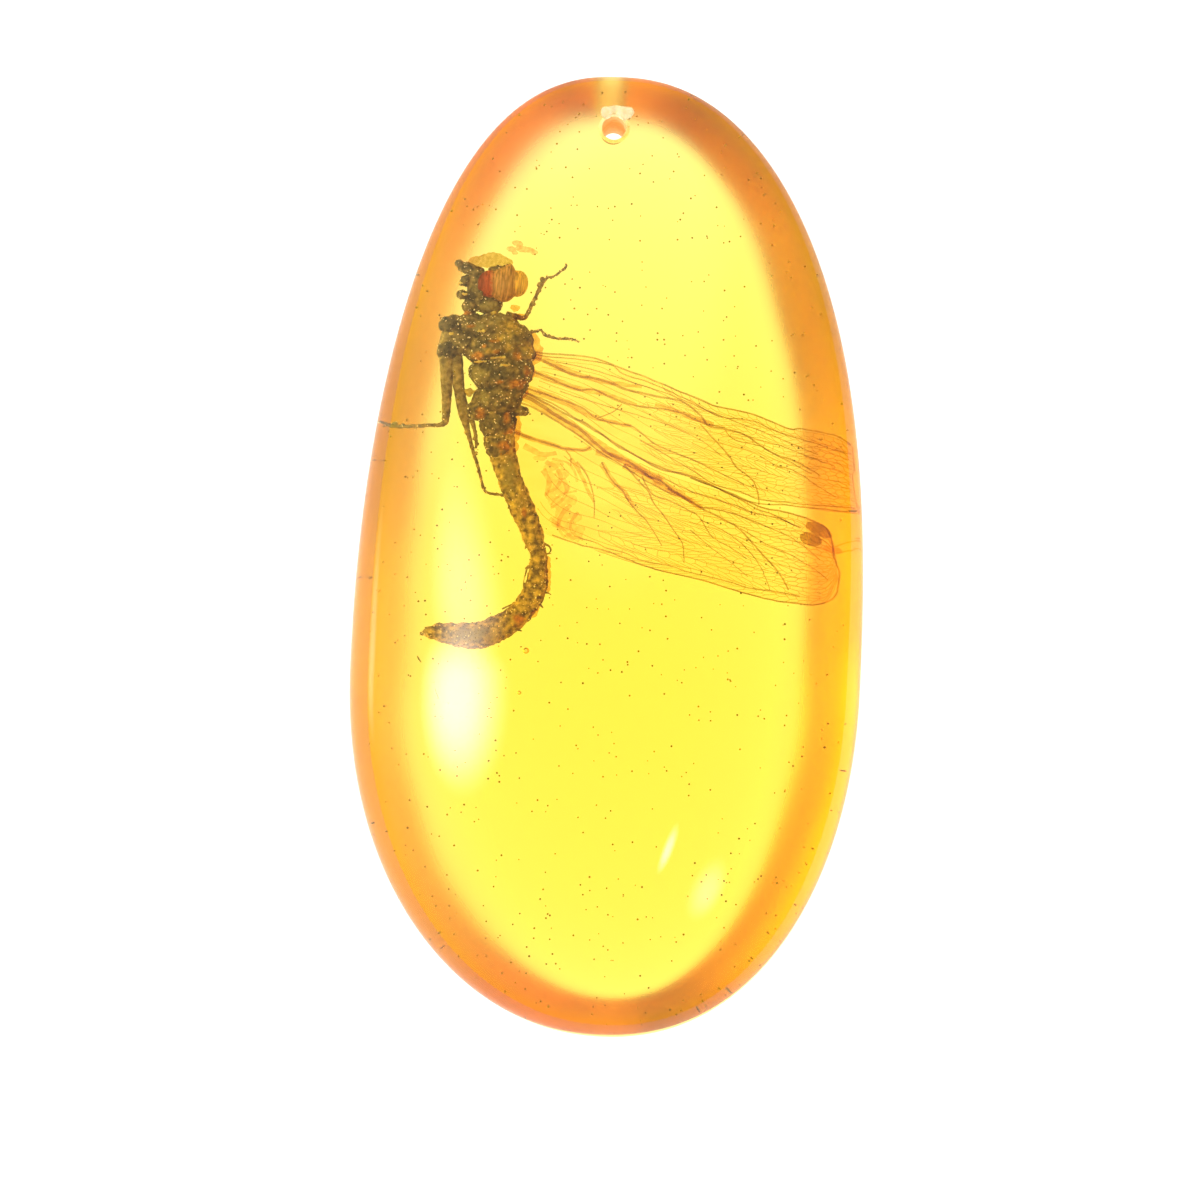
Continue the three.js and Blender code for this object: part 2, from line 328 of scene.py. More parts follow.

# %% [markdown]
# ## The cord hole
# A thin hole is drilled through the narrow end, leaning a little, and its mouth is chipped.
# A bore is a cut, so it is made as one: a long cone tool and a short flared one are taken away from
# the drop by a boolean, and the result is kept as plain mesh with sharp edges at the mouth.
# The cord has left tan dust on the wall of the bore. A thin sleeve just inside it shows that dust, and
# it has a painted glow: it emits a little light, standing in for the light of the resin round it.

# %% Drill the hole
HOLE_X = -1.5
HOLE_Y = 33.4
HOLE_MOUTH_Z = 9.0
HOLE_RADIUS = 0.97
HOLE_LEAN = 0.112
BORE_SIDES = 48
CHIP_RADIUS = 1.5
CHIP_DEPTH = 0.9
SHARP_EDGE = math.radians(38)

hole_mouth = Vector((HOLE_X, HOLE_Y, HOLE_MOUTH_Z))
hole_axis = Vector((0, math.sin(HOLE_LEAN), math.cos(HOLE_LEAN)))
placed = Matrix.Translation(hole_mouth * MM) @ Matrix.Rotation(-HOLE_LEAN, 4, "X")
drill = bmesh.new()
bmesh.ops.create_cone(drill, cap_ends=True, segments=BORE_SIDES, radius1=HOLE_RADIUS * MM,
                      radius2=HOLE_RADIUS * MM, depth=LENGTH * MM, matrix=placed)
bmesh.ops.create_cone(drill, cap_ends=True, segments=BORE_SIDES, radius1=HOLE_RADIUS * MM,
                      radius2=CHIP_RADIUS * MM, depth=CHIP_DEPTH * MM, matrix=placed)
drill_mesh = bpy.data.meshes.new("drill")
drill.to_mesh(drill_mesh)
drill.free()
tool = bpy.data.objects.new("drill", drill_mesh)
scene.collection.objects.link(tool)
cut = amber.modifiers.new("hole", "BOOLEAN")
cut.operation = "DIFFERENCE"
cut.solver = "EXACT"
cut.use_self = True
cut.object = tool
drilled = evaluated_mesh(amber)
amber.modifiers.remove(cut)
amber.data = drilled
bpy.data.objects.remove(tool)
drilled.name = "amber_drop"
drilled.shade_smooth()
drilled.set_sharp_from_angle(angle=SHARP_EDGE)
print("drilled drop", len(drilled.vertices), "vertices")

# %% Mark what is ground
BACK_ROUGHNESS = 0.29
BORE_ROUGHNESS = 0.5
BORE_REACH = 1.03
BACK_FACING = -0.05

roughness = drilled.attributes.new("ground", "FLOAT", "POINT")
for vertex, mark in zip(drilled.vertices, roughness.data):
    from_axis = (vertex.co / MM - hole_mouth).cross(hole_axis).length
    if from_axis < HOLE_RADIUS * BORE_REACH:
        mark.value = BORE_ROUGHNESS
    elif vertex.normal.z < BACK_FACING:
        mark.value = BACK_ROUGHNESS
print("ground points", sum(mark.value > 0 for mark in roughness.data))

# %% The hole's dusty wall
WALL_RADIUS = 0.94
WALL_THICKNESS = 0.03
WALL_FROM_Z = 1.4
WALL_TO_Z = 8.3
WALL_GLOW = 0.3

wall = bmesh.new()
wall_middle = hole_mouth + hole_axis * (((WALL_FROM_Z + WALL_TO_Z) / 2 - HOLE_MOUTH_Z) / hole_axis.z)
wall_place = Matrix.Translation(wall_middle * MM) @ Matrix.Rotation(-HOLE_LEAN, 4, "X")
bmesh.ops.create_cone(wall, cap_ends=False, segments=BORE_SIDES, radius1=WALL_RADIUS * MM,
                      radius2=WALL_RADIUS * MM, depth=(WALL_TO_Z - WALL_FROM_Z) * MM, matrix=wall_place)
bmesh.ops.recalc_face_normals(wall, faces=wall.faces)
bmesh.ops.solidify(wall, geom=wall.faces[:], thickness=WALL_THICKNESS * MM)
# The tan tone is the dust; the emission is a painted glow.
tan, tan_tree, tan_shader = new_finish(
    "bore_dust_and_glow", Roughness=0.9, Emission_Color=(1, 0.42, 0.12, 1), Emission_Strength=WALL_GLOW)
tan_tone = ramp(tan_tree, grain(tan_tree, 0.5), (0.35, (0.85, 0.5, 0.24)), (0.65, (1.0, 0.66, 0.38)))
tan_tree.links.new(tan_tone, tan_shader.inputs["Base Color"])
piece_from(wall, "hole_wall", tan, "debris")

# %% [markdown]
# ## Seeing through the curved front
# The front bends light, so a thing inside the drop isn't straight below the pixel that shows it.
# To seat a piece where the picture shows it, a ray goes from the lens through the pixel to the skin,
# bends there by the law of refraction and runs on to the height at which the piece lies.

# %% Seat a pixel inside the amber
skin = BVHTree.FromObject(amber, bpy.context.evaluated_depsgraph_get())


def refracted(ray, normal):
    """The ray's direction after it enters the amber through a skin with that normal."""
    ratio = 1 / AMBER_IOR
    facing = -ray.dot(normal)
    inside = math.sqrt(1 - ratio**2 * (1 - facing**2))
    return ray * ratio + normal * (ratio * facing - inside)


def sight(pixel):
    """Where the sight line through a pixel enters the amber, in mm, and how it runs on from there."""
    ray = (on_picture_plane(pixel) - eye).normalized()
    hit, normal, _, _ = skin.ray_cast(eye * MM, ray)
    if hit is None:
        return eye, ray
    return hit / MM, refracted(ray, normal)


def seat(pixel, height):
    """The point, in mm, at that height which the picture shows at a pixel."""
    start, ray = sight(pixel)
    return start + ray * ((height - start.z) / ray.z)


def height_on(tree, pixel, height):
    """The height, in mm, at which a sight line meets a piece inside the amber, or the given one."""
    start, ray = sight(pixel)
    hit, _, _, _ = tree.ray_cast(start * MM, ray)
    return height if hit is None else hit.z / MM


INSECT_Z = 7.2
for pixel in ((460, 270), (600, 550), (830, 540)):
    print("pixel", pixel, "is seated at", [round(value, 2) for value in seat(pixel, INSECT_Z)])

# %% [markdown]
# ## Lumps, skins and tubes
# The insect is made in three ways. Head and thorax are lumps that melt into one skin by a voxel
# remesh. Abdomen, legs and veins are tubes: a ring extruded from point to point, each new ring moved
# to its place by a transform. Points between the listed ones come from a smooth curve.

# %% Lumps and skins
def add_lump(bm, pixel, across, along, deep, rise=0.0, turn=0.0, level=INSECT_Z, rounds=3):
    """An egg at a pixel: half sizes across and along the picture in pixels, half depth and rise in mm."""
    place = Matrix.Translation(seat(pixel, level + rise) * MM)
    turned = Matrix.Rotation(PICTURE_TURN + math.radians(turn), 4, "Z")
    size = Matrix.Diagonal((across * PX * MM, along * PX * MM, deep * MM, 1))
    bmesh.ops.create_icosphere(bm, subdivisions=rounds, radius=1.0, matrix=place @ turned @ size)


def fused(bm, voxel, smoothing=2):
    """The closed shapes of a bmesh as one skin."""
    mesh = bpy.data.meshes.new("lumps")
    bm.to_mesh(mesh)
    bm.free()
    shapes = bpy.data.objects.new("lumps", mesh)
    scene.collection.objects.link(shapes)
    remesh = shapes.modifiers.new("skin", "REMESH")
    remesh.mode = "VOXEL"
    remesh.voxel_size = voxel * MM
    whole = bmesh.new()
    whole.from_mesh(evaluated_mesh(shapes))
    bpy.data.objects.remove(shapes)
    for _ in range(smoothing):
        bmesh.ops.smooth_vert(whole, verts=whole.verts, factor=0.5,
                              use_axis_x=True, use_axis_y=True, use_axis_z=True)
    return whole


def roughen(bm, depth, size, octaves=3):
    """Moves the skin in and out by up to that depth, with bumps of that size, both in mm."""
    bm.normal_update()
    moves = [noise.fractal(v.co / (size * MM), 0.9, 2.1, octaves) * v.normal for v in bm.verts]
    for vertex, move in zip(bm.verts, moves):
        vertex.co += move * depth * MM


# %% Tubes
def smooth_line(points, steps):
    """Points of a curve through the given ones, with that many steps between two of them."""
    held = [points[0], *points, points[-1]]
    line = []
    for before, start, end, after in zip(held, held[1:], held[2:], held[3:]):
        for i in range(steps):
            t = i / steps
            bend = start * 2 + (end - before) * t
            bend += (before * 2 - start * 5 + end * 4 - after) * t**2
            bend += (start * 3 - before - end * 3 + after) * t**3
            line.append(bend / 2)
    return [*line, points[-1]]


def ring_frame(line, i, flatness):
    """Where the ring at point i of a line of (x, y, z, radius) goes: across it, with a flattened height."""
    ahead = line[min(i + 1, len(line) - 1)].to_3d() - line[max(i - 1, 0)].to_3d()
    ahead.normalize()
    side = ahead.cross(Vector((0, 0, 1))).normalized()
    turned = Matrix((side, side.cross(ahead), ahead)).transposed().to_4x4()
    radius = max(line[i].w, SAME_PLACE)
    size = Matrix.Diagonal((radius, radius * flatness, radius, 1))
    return Matrix.Translation(line[i].to_3d()) @ turned @ size


def add_tube(bm, line, sides=8, flatness=1.0):
    """A closed tube through points of (x, y, z, radius) in metres."""
    tube = bmesh.new()
    placed = ring_frame(line, 0, flatness)
    first = bmesh.ops.create_circle(tube, cap_ends=True, segments=sides, radius=1.0, matrix=placed)
    ring = list({edge for vertex in first["verts"] for edge in vertex.link_edges})
    for i in range(1, len(line)):
        grown = bmesh.ops.extrude_edge_only(tube, edges=ring)["geom"]
        ring = [item for item in grown if isinstance(item, bmesh.types.BMEdge)]
        corners = [item for item in grown if isinstance(item, bmesh.types.BMVert)]
        ahead = ring_frame(line, i, flatness)
        bmesh.ops.transform(tube, matrix=ahead @ placed.inverted(), verts=corners)
        ring = [edge for edge in ring if all(vertex in corners for vertex in edge.verts)]
        placed = ahead
    bmesh.ops.edgeloop_fill(tube, edges=ring)
    bmesh.ops.recalc_face_normals(tube, faces=tube.faces)
    mesh = bpy.data.meshes.new("tube")
    tube.to_mesh(mesh)
    tube.free()
    bm.from_mesh(mesh)
    bpy.data.meshes.remove(mesh)


def seated_line(joints, level, steps):
    """A smooth line in metres from joints of (pixel x, pixel y, half width in pixels) at one height."""
    points = []
    for x, y, half_width in joints:
        points.append(Vector((*seat((x, y), level) * MM, half_width * PX * MM)))
    return smooth_line(points, steps)


# %% [markdown]
# ## Dried chitin
# The body is a dark, dried husk: brown-black, with olive and rust where it is thin and broken.
# A coarse noise gives the patches and a fine one the crumbly relief. Inside the resin a surface
# hardly shines, since both have nearly the same refractive index, so the specular level is low.
# Thin skins are another matter: they let light through and only tint it, so they get full transmission
# and an index of one, as a wetted film has.

# %% Chitin, films and specks
def chitin_finish(name, dark, middle, light, patch, stretch=(1, 1, 1)):
    material, tree, shader = new_finish(name, Roughness=0.6, Specular_IOR_Level=0.15)
    shade = ramp(tree, grain(tree, patch, 6.0, stretch), (0.36, dark), (0.52, middle), (0.72, light))
    tree.links.new(shade, shader.inputs["Base Color"])
    bump(tree, shader, grain(tree, 0.22, 5.0), 0.06)
    return material


husk = chitin_finish("chitin", (0.1, 0.075, 0.055), (0.24, 0.18, 0.12), (0.55, 0.41, 0.24), 0.5)
limb = chitin_finish("leg_chitin", (0.2, 0.15, 0.1), (0.37, 0.28, 0.18), (0.66, 0.51, 0.3), 0.4)


def film_finish(name, thin, thick, size, stretch=(1, 1, 1)):
    """A wetted film that only tints the light, between a thin and a thick colour."""
    material, tree, shader = new_finish(name, Roughness=0.0, IOR=1.0, Transmission_Weight=1.0)
    tint = ramp(tree, grain(tree, size, 5.0, stretch), (0.35, thin), (0.65, thick))
    tree.links.new(tint, shader.inputs["Base Color"])
    return material


def bead_finish(name, dull, bright, size, glint=0.0):
    """A solid speck of two shades; a glint above zero is a painted glow by emission."""
    material, tree, shader = new_finish(name, Roughness=0.4, Specular_IOR_Level=0.2,
                                        Emission_Color=(*bright, 1), Emission_Strength=glint)
    tone = ramp(tree, grain(tree, size, 3.0), (0.4, dull), (0.6, bright))
    tree.links.new(tone, shader.inputs["Base Color"])
    return material


print("finishes for the insect", husk.name, limb.name)

# %% [markdown]
# ## Head and thorax
# The dragonfly lies on its side. From the front of the head down: knobbly mouth parts, a neck, two
# black hip lumps to the left, and a thorax that ends in a spike where the hind wing starts.
# Each lump is named by the pixel that it covers, and all of them melt into one rough skin.

# %% Head and thorax
HEAD_LUMPS = [
    ((459, 264), 4.5, 4, 0.6), ((467, 268), 9, 5, 0.8), ((476, 272), 8, 6, 0.9),
    ((467, 281), 7, 6, 0.8), ((462, 295), 6.5, 4.5, 0.6), ((470, 306), 7.5, 9, 0.8),
    ((480, 288), 12, 16, 1.2), ((492, 290), 10, 10, 1.0), ((489, 305), 14, 9, 1.1),
    ((508, 269), 5.5, 5, 0.5), ((497, 270), 8, 4, 0.6),
]
THORAX_LUMPS = [
    ((452, 324), 12, 10, 0.9), ((449, 349), 11.5, 12, 0.9), ((464, 340), 15, 16, 1.2),
    ((470, 322), 14, 8, 1.0), ((494, 327), 25, 14, 1.5), ((512, 340), 20, 16, 1.7),
    ((515, 353), 20, 12, 1.5), ((488, 348), 24, 18, 1.9), ((502, 372), 31, 22, 2.1),
    ((514, 386), 14, 13, 1.4), ((497, 400), 24, 17, 1.8), ((519, 411), 9, 5, 0.7),
    ((480, 410), 14, 11, 1.2), ((497, 424), 18, 17, 1.5), ((499, 444), 13, 17, 1.2),
]
BODY_VOXEL = 0.085
COARSE_RELIEF = (0.16, 0.9)
FINE_RELIEF = (0.07, 0.3)

body = bmesh.new()
for pixel, across, along, deep in HEAD_LUMPS + THORAX_LUMPS:
    add_lump(body, pixel, across, along, deep)
body = fused(body, BODY_VOXEL)
roughen(body, *COARSE_RELIEF)
roughen(body, *FINE_RELIEF)
body = piece_from(body, "head_and_thorax", husk, "insect", "dragonfly")

# %% [markdown]
# ## Compound eyes
# Two large eyes cap the head, one on each side. The upper one shows red at its inner side, brown in
# the middle and orange at its rim, with fine upright rows of facets. The colour runs across the eye,
# so a gradient along the piece's own X axis sets it, and stretched noise makes the rows.

# %% Eyes
EYE_LUMPS = [((491, 284), 15, 14, 0.9), ((504, 284.5), 14, 18, 1.15), ((509.5, 273), 5.5, 9.5, 0.8),
             ((517.5, 283.5), 10.5, 13.5, 0.95)]
EYE_SIDES = (0.7, -0.7)
EYE_RAGGED = 0.2
EYE_LEFT_PX = (480, 285)
EYE_RIGHT_PX = (529, 285)
EYE_VOXEL = 0.07
EYE_RELIEF = (0.05, 0.5)


def eye_finish():
    material, tree, shader = new_finish("compound_eye", Roughness=0.45, Specular_IOR_Level=0.2)
    left = seat(EYE_LEFT_PX, INSECT_Z).x * MM
    right = seat(EYE_RIGHT_PX, INSECT_Z).x * MM
    coords = add_node(tree, "TexCoord")
    parts = add_node(tree, "SeparateXYZ")
    along = add_node(tree, "MapRange", From_Min=left, From_Max=right)
    tree.links.new(coords.outputs["Object"], parts.inputs["Vector"])
    tree.links.new(parts.outputs["X"], along.inputs["Value"])
    ragged = add_node(tree, "Math")
    ragged.operation = "MULTIPLY_ADD"
    ragged.inputs[1].default_value = EYE_RAGGED
    tree.links.new(grain(tree, 0.4), ragged.inputs[0])
    tree.links.new(along.outputs["Result"], ragged.inputs[2])
    tone = ramp(tree, ragged.outputs["Value"], (0.1, (0.34, 0.07, 0.03)), (0.27, (0.58, 0.12, 0.05)),
                (0.37, (0.68, 0.38, 0.19)), (0.76, (0.64, 0.37, 0.16)), (0.83, (0.98, 0.6, 0.14)),
                (1.0, (1.0, 0.72, 0.18)))
    rows = grain(tree, 0.35, 3.0, (2.6, 0.25, 1.0))
    shade = ramp(tree, rows, (0.35, (0.55, 0.5, 0.45)), (0.65, (1.25, 1.2, 1.15)))
    mixed = add_node(tree, "MixRGB", Fac=1.0)
    mixed.blend_type = "MULTIPLY"
    tree.links.new(tone, mixed.inputs["Color1"])
    tree.links.new(shade, mixed.inputs["Color2"])
    tree.links.new(mixed.outputs["Color"], shader.inputs["Base Color"])
    bump(tree, shader, rows, 0.05)
    return material


eyes = bmesh.new()
for rise in EYE_SIDES:
    for pixel, across, along, deep in EYE_LUMPS:
        add_lump(eyes, pixel, across, along, deep, rise)
eyes = fused(eyes, EYE_VOXEL)
roughen(eyes, *EYE_RELIEF)
piece_from(eyes, "compound_eyes", eye_finish(), "insect", "dragonfly")

# %% [markdown]
# ## Stains on the husk
# The husk isn't one brown. The hips are nearly black, rusty muscle shows where it is torn, and an olive
# and grey bloom covers the neck and the shoulder. Such stains have no edge of their own, so they aren't
# pieces: each is a number on the points of the husk that fades out raggedly from the stain's middle, and
# the finish mixes the stain's colour in by that number. Only a few thin, pale plates are low lumps,
# pressed into the husk where the sight line meets it.

# %% Stains
STAINS = {
    "black": [((452, 324), 12, 10), ((449, 349), 11, 12), ((479, 364), 9, 7), ((498, 373), 11, 8),
              ((464, 288), 7, 13), ((467, 337), 9, 7)],
    "grey": [((478, 375), 8, 11), ((491, 307), 10, 7), ((500, 317), 14, 7), ((478, 328), 7, 5),
             ((484, 398), 4, 8)],
    "olive": [((510, 328), 14, 9), ((500, 337), 10, 6), ((529, 350), 9, 9), ((508, 347), 7, 6),
              ((490, 351), 8, 4)],
    "rust": [((477, 356), 6, 5), ((517, 355), 6, 6), ((518, 384), 9, 6), ((480, 413), 5.5, 6.5),
             ((511, 431), 7, 7), ((506, 446), 11, 6), ((466, 313), 5, 2.4), ((470, 326), 5, 2.4),
             ((500, 382), 5, 2), ((494, 341), 6, 2), ((507, 418), 4, 7), ((484, 346), 3, 3),
             ((527, 372), 4, 6), ((496, 352), 5, 3)],
}
STAIN_AND_SHEEN_COLOURS = {
    "black": ((0.05, 0.04, 0.03), (0.16, 0.12, 0.08)),
    "grey": ((0.3, 0.25, 0.18), (0.46, 0.38, 0.26)),
    "olive": ((0.34, 0.25, 0.1), (0.76, 0.54, 0.2)),
    "rust": ((0.38, 0.15, 0.045), (0.8, 0.37, 0.1)),
}
FADE_FROM = 1.5
FADE_RATE = 1.4
RAGGED_EDGE = 0.7
RAGGED_SIZE = 0.4
FAR_AWAY = 9.0

husk_tree = BVHTree.FromObject(body, bpy.context.evaluated_depsgraph_get())


def stain_and_sheen(mesh, name, spots):
    """Marks how strongly each point of a mesh is stained, from 0 to 1; the grey on the abdomen's tail is
    painted sheen.
    """
    middles = [seat(pixel, height_on(husk_tree, pixel, INSECT_Z)) for pixel, _, _ in spots]
    strength = mesh.attributes.new(name, "FLOAT", "POINT")
    for vertex, mark in zip(mesh.vertices, strength.data):
        place = vertex.co / MM
        edge = FADE_FROM + RAGGED_EDGE * noise.noise(place / RAGGED_SIZE)
        nearest = FAR_AWAY
        for middle, (_, across, along) in zip(middles, spots):
            offset = (place - middle) / PX
            nearest = min(nearest, math.hypot(offset.dot(RIGHT) / across, offset.dot(UP) / along))
        mark.value = min(1.0, max(0.0, edge - FADE_RATE * nearest))


def mix_stain_and_sheen(material, name):
    """Mixes a stain's two shades into a finish, where the piece carries that number; on the tail the grey
    is painted sheen.
    """
    tree = material.node_tree
    shader = tree.nodes["Principled BSDF"]
    under = shader.inputs["Base Color"].links[0].from_socket
    dull, bright = STAIN_AND_SHEEN_COLOURS[name]
    amount = add_node(tree, "Attribute")
    amount.attribute_name = name
    mixed = add_node(tree, "MixRGB")
    tone = ramp(tree, grain(tree, 0.3, 5.0), (0.38, dull), (0.62, bright))
    tree.links.new(amount.outputs["Fac"], mixed.inputs["Fac"])
    tree.links.new(under, mixed.inputs["Color1"])
    tree.links.new(tone, mixed.inputs["Color2"])
    tree.links.new(mixed.outputs["Color"], shader.inputs["Base Color"])


for name, spots in STAINS.items():
    stain_and_sheen(body.data, name, spots)
    mix_stain_and_sheen(husk, name)
print("stains", {name: len(spots) for name, spots in STAINS.items()})

# %% Pale plates
PALE_SPOTS = [
    ((451, 333.5), 3.6, 1.1), ((469, 392), 5.5, 3.6), ((497, 357.5), 7, 1.1), ((480, 361.5), 6, 0.7),
    ((505, 365), 5, 1), ((493, 313), 2.4, 2), ((482, 331), 5, 0.6), ((461, 283), 2, 1),
    ((464, 294), 2.4, 1),
]
SPOT_DEPTH = 0.2
SPOT_RELIEF = (0.17, 0.3)

straw = bead_finish("pale_plate", (0.9, 0.62, 0.2), (1.0, 0.85, 0.5), 0.3)
plates = bmesh.new()
for pixel, across, along in PALE_SPOTS:
    add_lump(plates, pixel, across, along, SPOT_DEPTH, level=height_on(husk_tree, pixel, INSECT_Z))
roughen(plates, *SPOT_RELIEF)
piece_from(plates, "pale_plates", straw, "insect", "dragonfly")

# %% [markdown]
# ## Thin skin
# At its right edge the husk is only a thin skin that lets light through, and a golden cap of hardened
# resin sits on the head. These stand out at the side as low, see-through lumps.

# %% Thin skin and the golden cap
THIN_SKIN = [
    ((531, 343), 9, 11), ((530, 357), 12, 8), ((527, 372), 8, 10), ((521, 390), 7, 8),
    ((515, 428), 6, 14), ((507, 447), 11, 11), ((519, 317), 8, 3.4), ((515, 308), 5, 3),
    ((538, 352), 5, 8), ((548, 575), 2.8, 18), ((531, 610), 8, 8),
]
CAP_LUMPS = [((477, 262), 9, 6), ((491, 260), 15, 7.5), ((504, 263), 8, 6)]
SKIN_DEPTH = 0.5
SKIN_VOXEL = 0.09
SKIN_RELIEF = (0.12, 0.4)

golden_skin = film_finish("golden_skin", (0.9, 0.66, 0.3), (0.7, 0.4, 0.12), 0.5)
golden_cap = film_finish("golden_cap", (0.76, 0.6, 0.3), (0.56, 0.4, 0.14), 0.25)
for name, lumps, finish in (("thin_skin", THIN_SKIN, golden_skin), ("head_cap", CAP_LUMPS, golden_cap)):
    skins = bmesh.new()
    for pixel, across, along in lumps:
        add_lump(skins, pixel, across, along, SKIN_DEPTH)
    skins = fused(skins, SKIN_VOXEL, 1)
    roughen(skins, *SKIN_RELIEF)
    piece_from(skins, name, finish, "insect", "dragonfly")

# %% [markdown]
# ## Legs
# Two thick thighs hang down on the left, with thin shins that bend away at the knee, and two thin
# legs reach out to the right. Each is a tube with a half width at each joint, so one list of joints
# by pixel gives both the route and the swelling of the thighs. Small knobs sit along the thin parts.

# %% Legs
LEGS = [
    [(453, 324, 8), (447, 345, 8), (447, 366, 7), (446.5, 394, 5), (446, 416, 3.8), (443, 424, 2.4),
     (425, 425.5, 1.7), (405, 426.5, 2), (391, 425.5, 2), (381, 421.5, 1)],
    [(455, 350, 7), (457, 372, 6.5), (460, 394, 5.2), (464, 413, 5.6), (466, 424, 3.4), (470, 440, 1.9),
     (474, 455, 1.7), (479, 470, 1.5), (484, 489, 1.3), (490, 493.5, 1.3), (503, 495, 1.3),
     (512, 499, 1.2)],
    [(470, 414, 4), (474, 428, 1.9), (476, 438, 1.7), (476.5, 448, 1)],
    [(506, 314, 3), (517, 316.5, 2.6), (525, 317.5, 2), (532, 304, 1.9), (538, 292, 1.9),
     (543.5, 281, 2.1), (548, 277.5, 1.4), (553, 276.5, 1.0), (560, 272, 1.1), (566, 267, 1.1),
     (565.5, 263, 0.6)],
    [(526, 334, 1.6), (536, 331, 1.2), (541, 330.4, 1.1), (545, 335, 1.4), (552.5, 337.5, 1.2),
     (559, 338.8, 1.1), (569, 338.8, 1.3), (574, 340, 0.8), (579, 342, 0.5)],
]
LEG_SIDES = 10
LEG_STEPS = 8
LEG_RELIEF = (0.05, 0.25)
KNOB_STEP = 4
KNOB_LIMIT = 3.0
KNOB_SHARES = (0.7, 1.3)

legs = bmesh.new()
for joints in LEGS:
    line = seated_line(joints, INSECT_Z, LEG_STEPS)
    add_tube(legs, line, LEG_SIDES)
    for point in line[KNOB_STEP::KNOB_STEP]:
        if point.w < KNOB_LIMIT * PX * MM:
            aside = Vector((draw.uniform(-1, 1), draw.uniform(-1, 1), 0)) * point.w
            bmesh.ops.create_icosphere(legs, subdivisions=2, radius=point.w * draw.uniform(*KNOB_SHARES),
                                       matrix=Matrix.Translation(point.to_3d() + aside))
roughen(legs, *LEG_RELIEF)
legs = piece_from(legs, "legs", limb, "insect", "dragonfly")

# %% [markdown]
# ## Abdomen
# The long abdomen curls under to a blunt, spread end with a pointed tip. It is one tube through
# listed joints, finely roughened, because on the fossil its segments are shrunk and crusted.
# It is stained like the husk, and the grey on its tail is painted sheen, where the softbox's veil lies.
# Thin barbs and one loose filament stand off from its edges.

# %% Abdomen
ABDOMEN = [
    (499, 434, 15), (503, 455, 12.5), (510.5, 480, 11), (518, 499, 11.3), (527.5, 520, 10.5),
    (535, 542, 9), (538.5, 556, 7.4), (537.5, 574, 8.6), (535, 590, 11), (526, 606, 10.5),
    (513, 619, 11.5), (497, 629, 12.6), (478, 635.5, 12.8), (458, 634.5, 11.4), (441, 632.5, 8.8),
    (428, 632.5, 4.4), (419.5, 633, 0.8),
]
ABDOMEN_SIDES = 40
ABDOMEN_STEPS = 14
ABDOMEN_FLATNESS = 0.92
CRUST_RELIEFS = ((0.12, 0.7), (0.07, 0.25))
# The grey spot over the tail is painted sheen: grey that stands in for the softbox's veil reflected there.
ABDOMEN_STAINS_AND_SHEEN = {
    "grey": [((509, 474), 9, 22), ((470, 634), 24, 9)],
    "rust": [((505, 449), 11, 7), ((518, 620), 7, 7), ((524, 512), 3, 5)],
}

abdomen = bmesh.new()
add_tube(abdomen, seated_line(ABDOMEN, INSECT_Z, ABDOMEN_STEPS), ABDOMEN_SIDES, ABDOMEN_FLATNESS)
for depth, size in CRUST_RELIEFS:
    roughen(abdomen, depth, size)
crust = chitin_finish("crusted_chitin", (0.16, 0.115, 0.07), (0.56, 0.42, 0.22), (1.0, 0.78, 0.4), 0.42)
abdomen = piece_from(abdomen, "abdomen", crust, "insect", "dragonfly")
for name, spots in ABDOMEN_STAINS_AND_SHEEN.items():
    stain_and_sheen(abdomen.data, name, spots)
    mix_stain_and_sheen(crust, name)

# %% Barbs and fibres
BARBS = [
    [(544, 544, 1.6), (549, 546, 1.0), (551, 550, 0.9), (549, 553, 0.4)],
    [(543, 554, 1.6), (551, 553.5, 0.4)],
    [(543, 592, 2), (548, 593, 0.8), (551, 595, 0.4)],
    [(506, 624, 3), (514, 628, 2.2), (521.5, 631, 0.5)],
    [(527, 569, 1), (524, 580, 0.5), (523.5, 587, 0.7), (524.5, 592, 0.6), (517, 602, 0.7),
     (510, 605, 0.7), (502, 609, 0.9)],
    [(438, 629, 3.4), (431, 628, 2), (425, 627.5, 0.5)],
    [(445, 628, 4), (438.5, 622.5, 0.6)],
    [(527, 545, 2), (525, 549, 0.5)],
    [(530, 566, 2.4), (525.5, 569, 1)],
    [(538, 603, 2), (543, 608, 0.5)],
    [(417, 656, 0.5), (419, 659, 0.7), (421, 662, 0.5)],
    [(435, 688.5, 0.4), (437, 694, 0.6), (439.5, 699.5, 0.4)],
]
BARB_SIDES = 6
BARB_STEPS = 6

barbs = bmesh.new()
for joints in BARBS:
    add_tube(barbs, seated_line(joints, INSECT_Z, BARB_STEPS), BARB_SIDES)
piece_from(barbs, "barbs", limb, "insect", "dragonfly")

# %% [markdown]
# ## Wing films
# Two wings lie spread to the right, one partly over the other. A wing is a clear film on a net of
# veins. The film is laid out as a flat grid, mapped between the front and the hind edge, seated
# through the amber pixel by pixel, rippled a little and given a thickness. Its index equals that of
# what surrounds it, so it only tints the light, as a wetted film does.

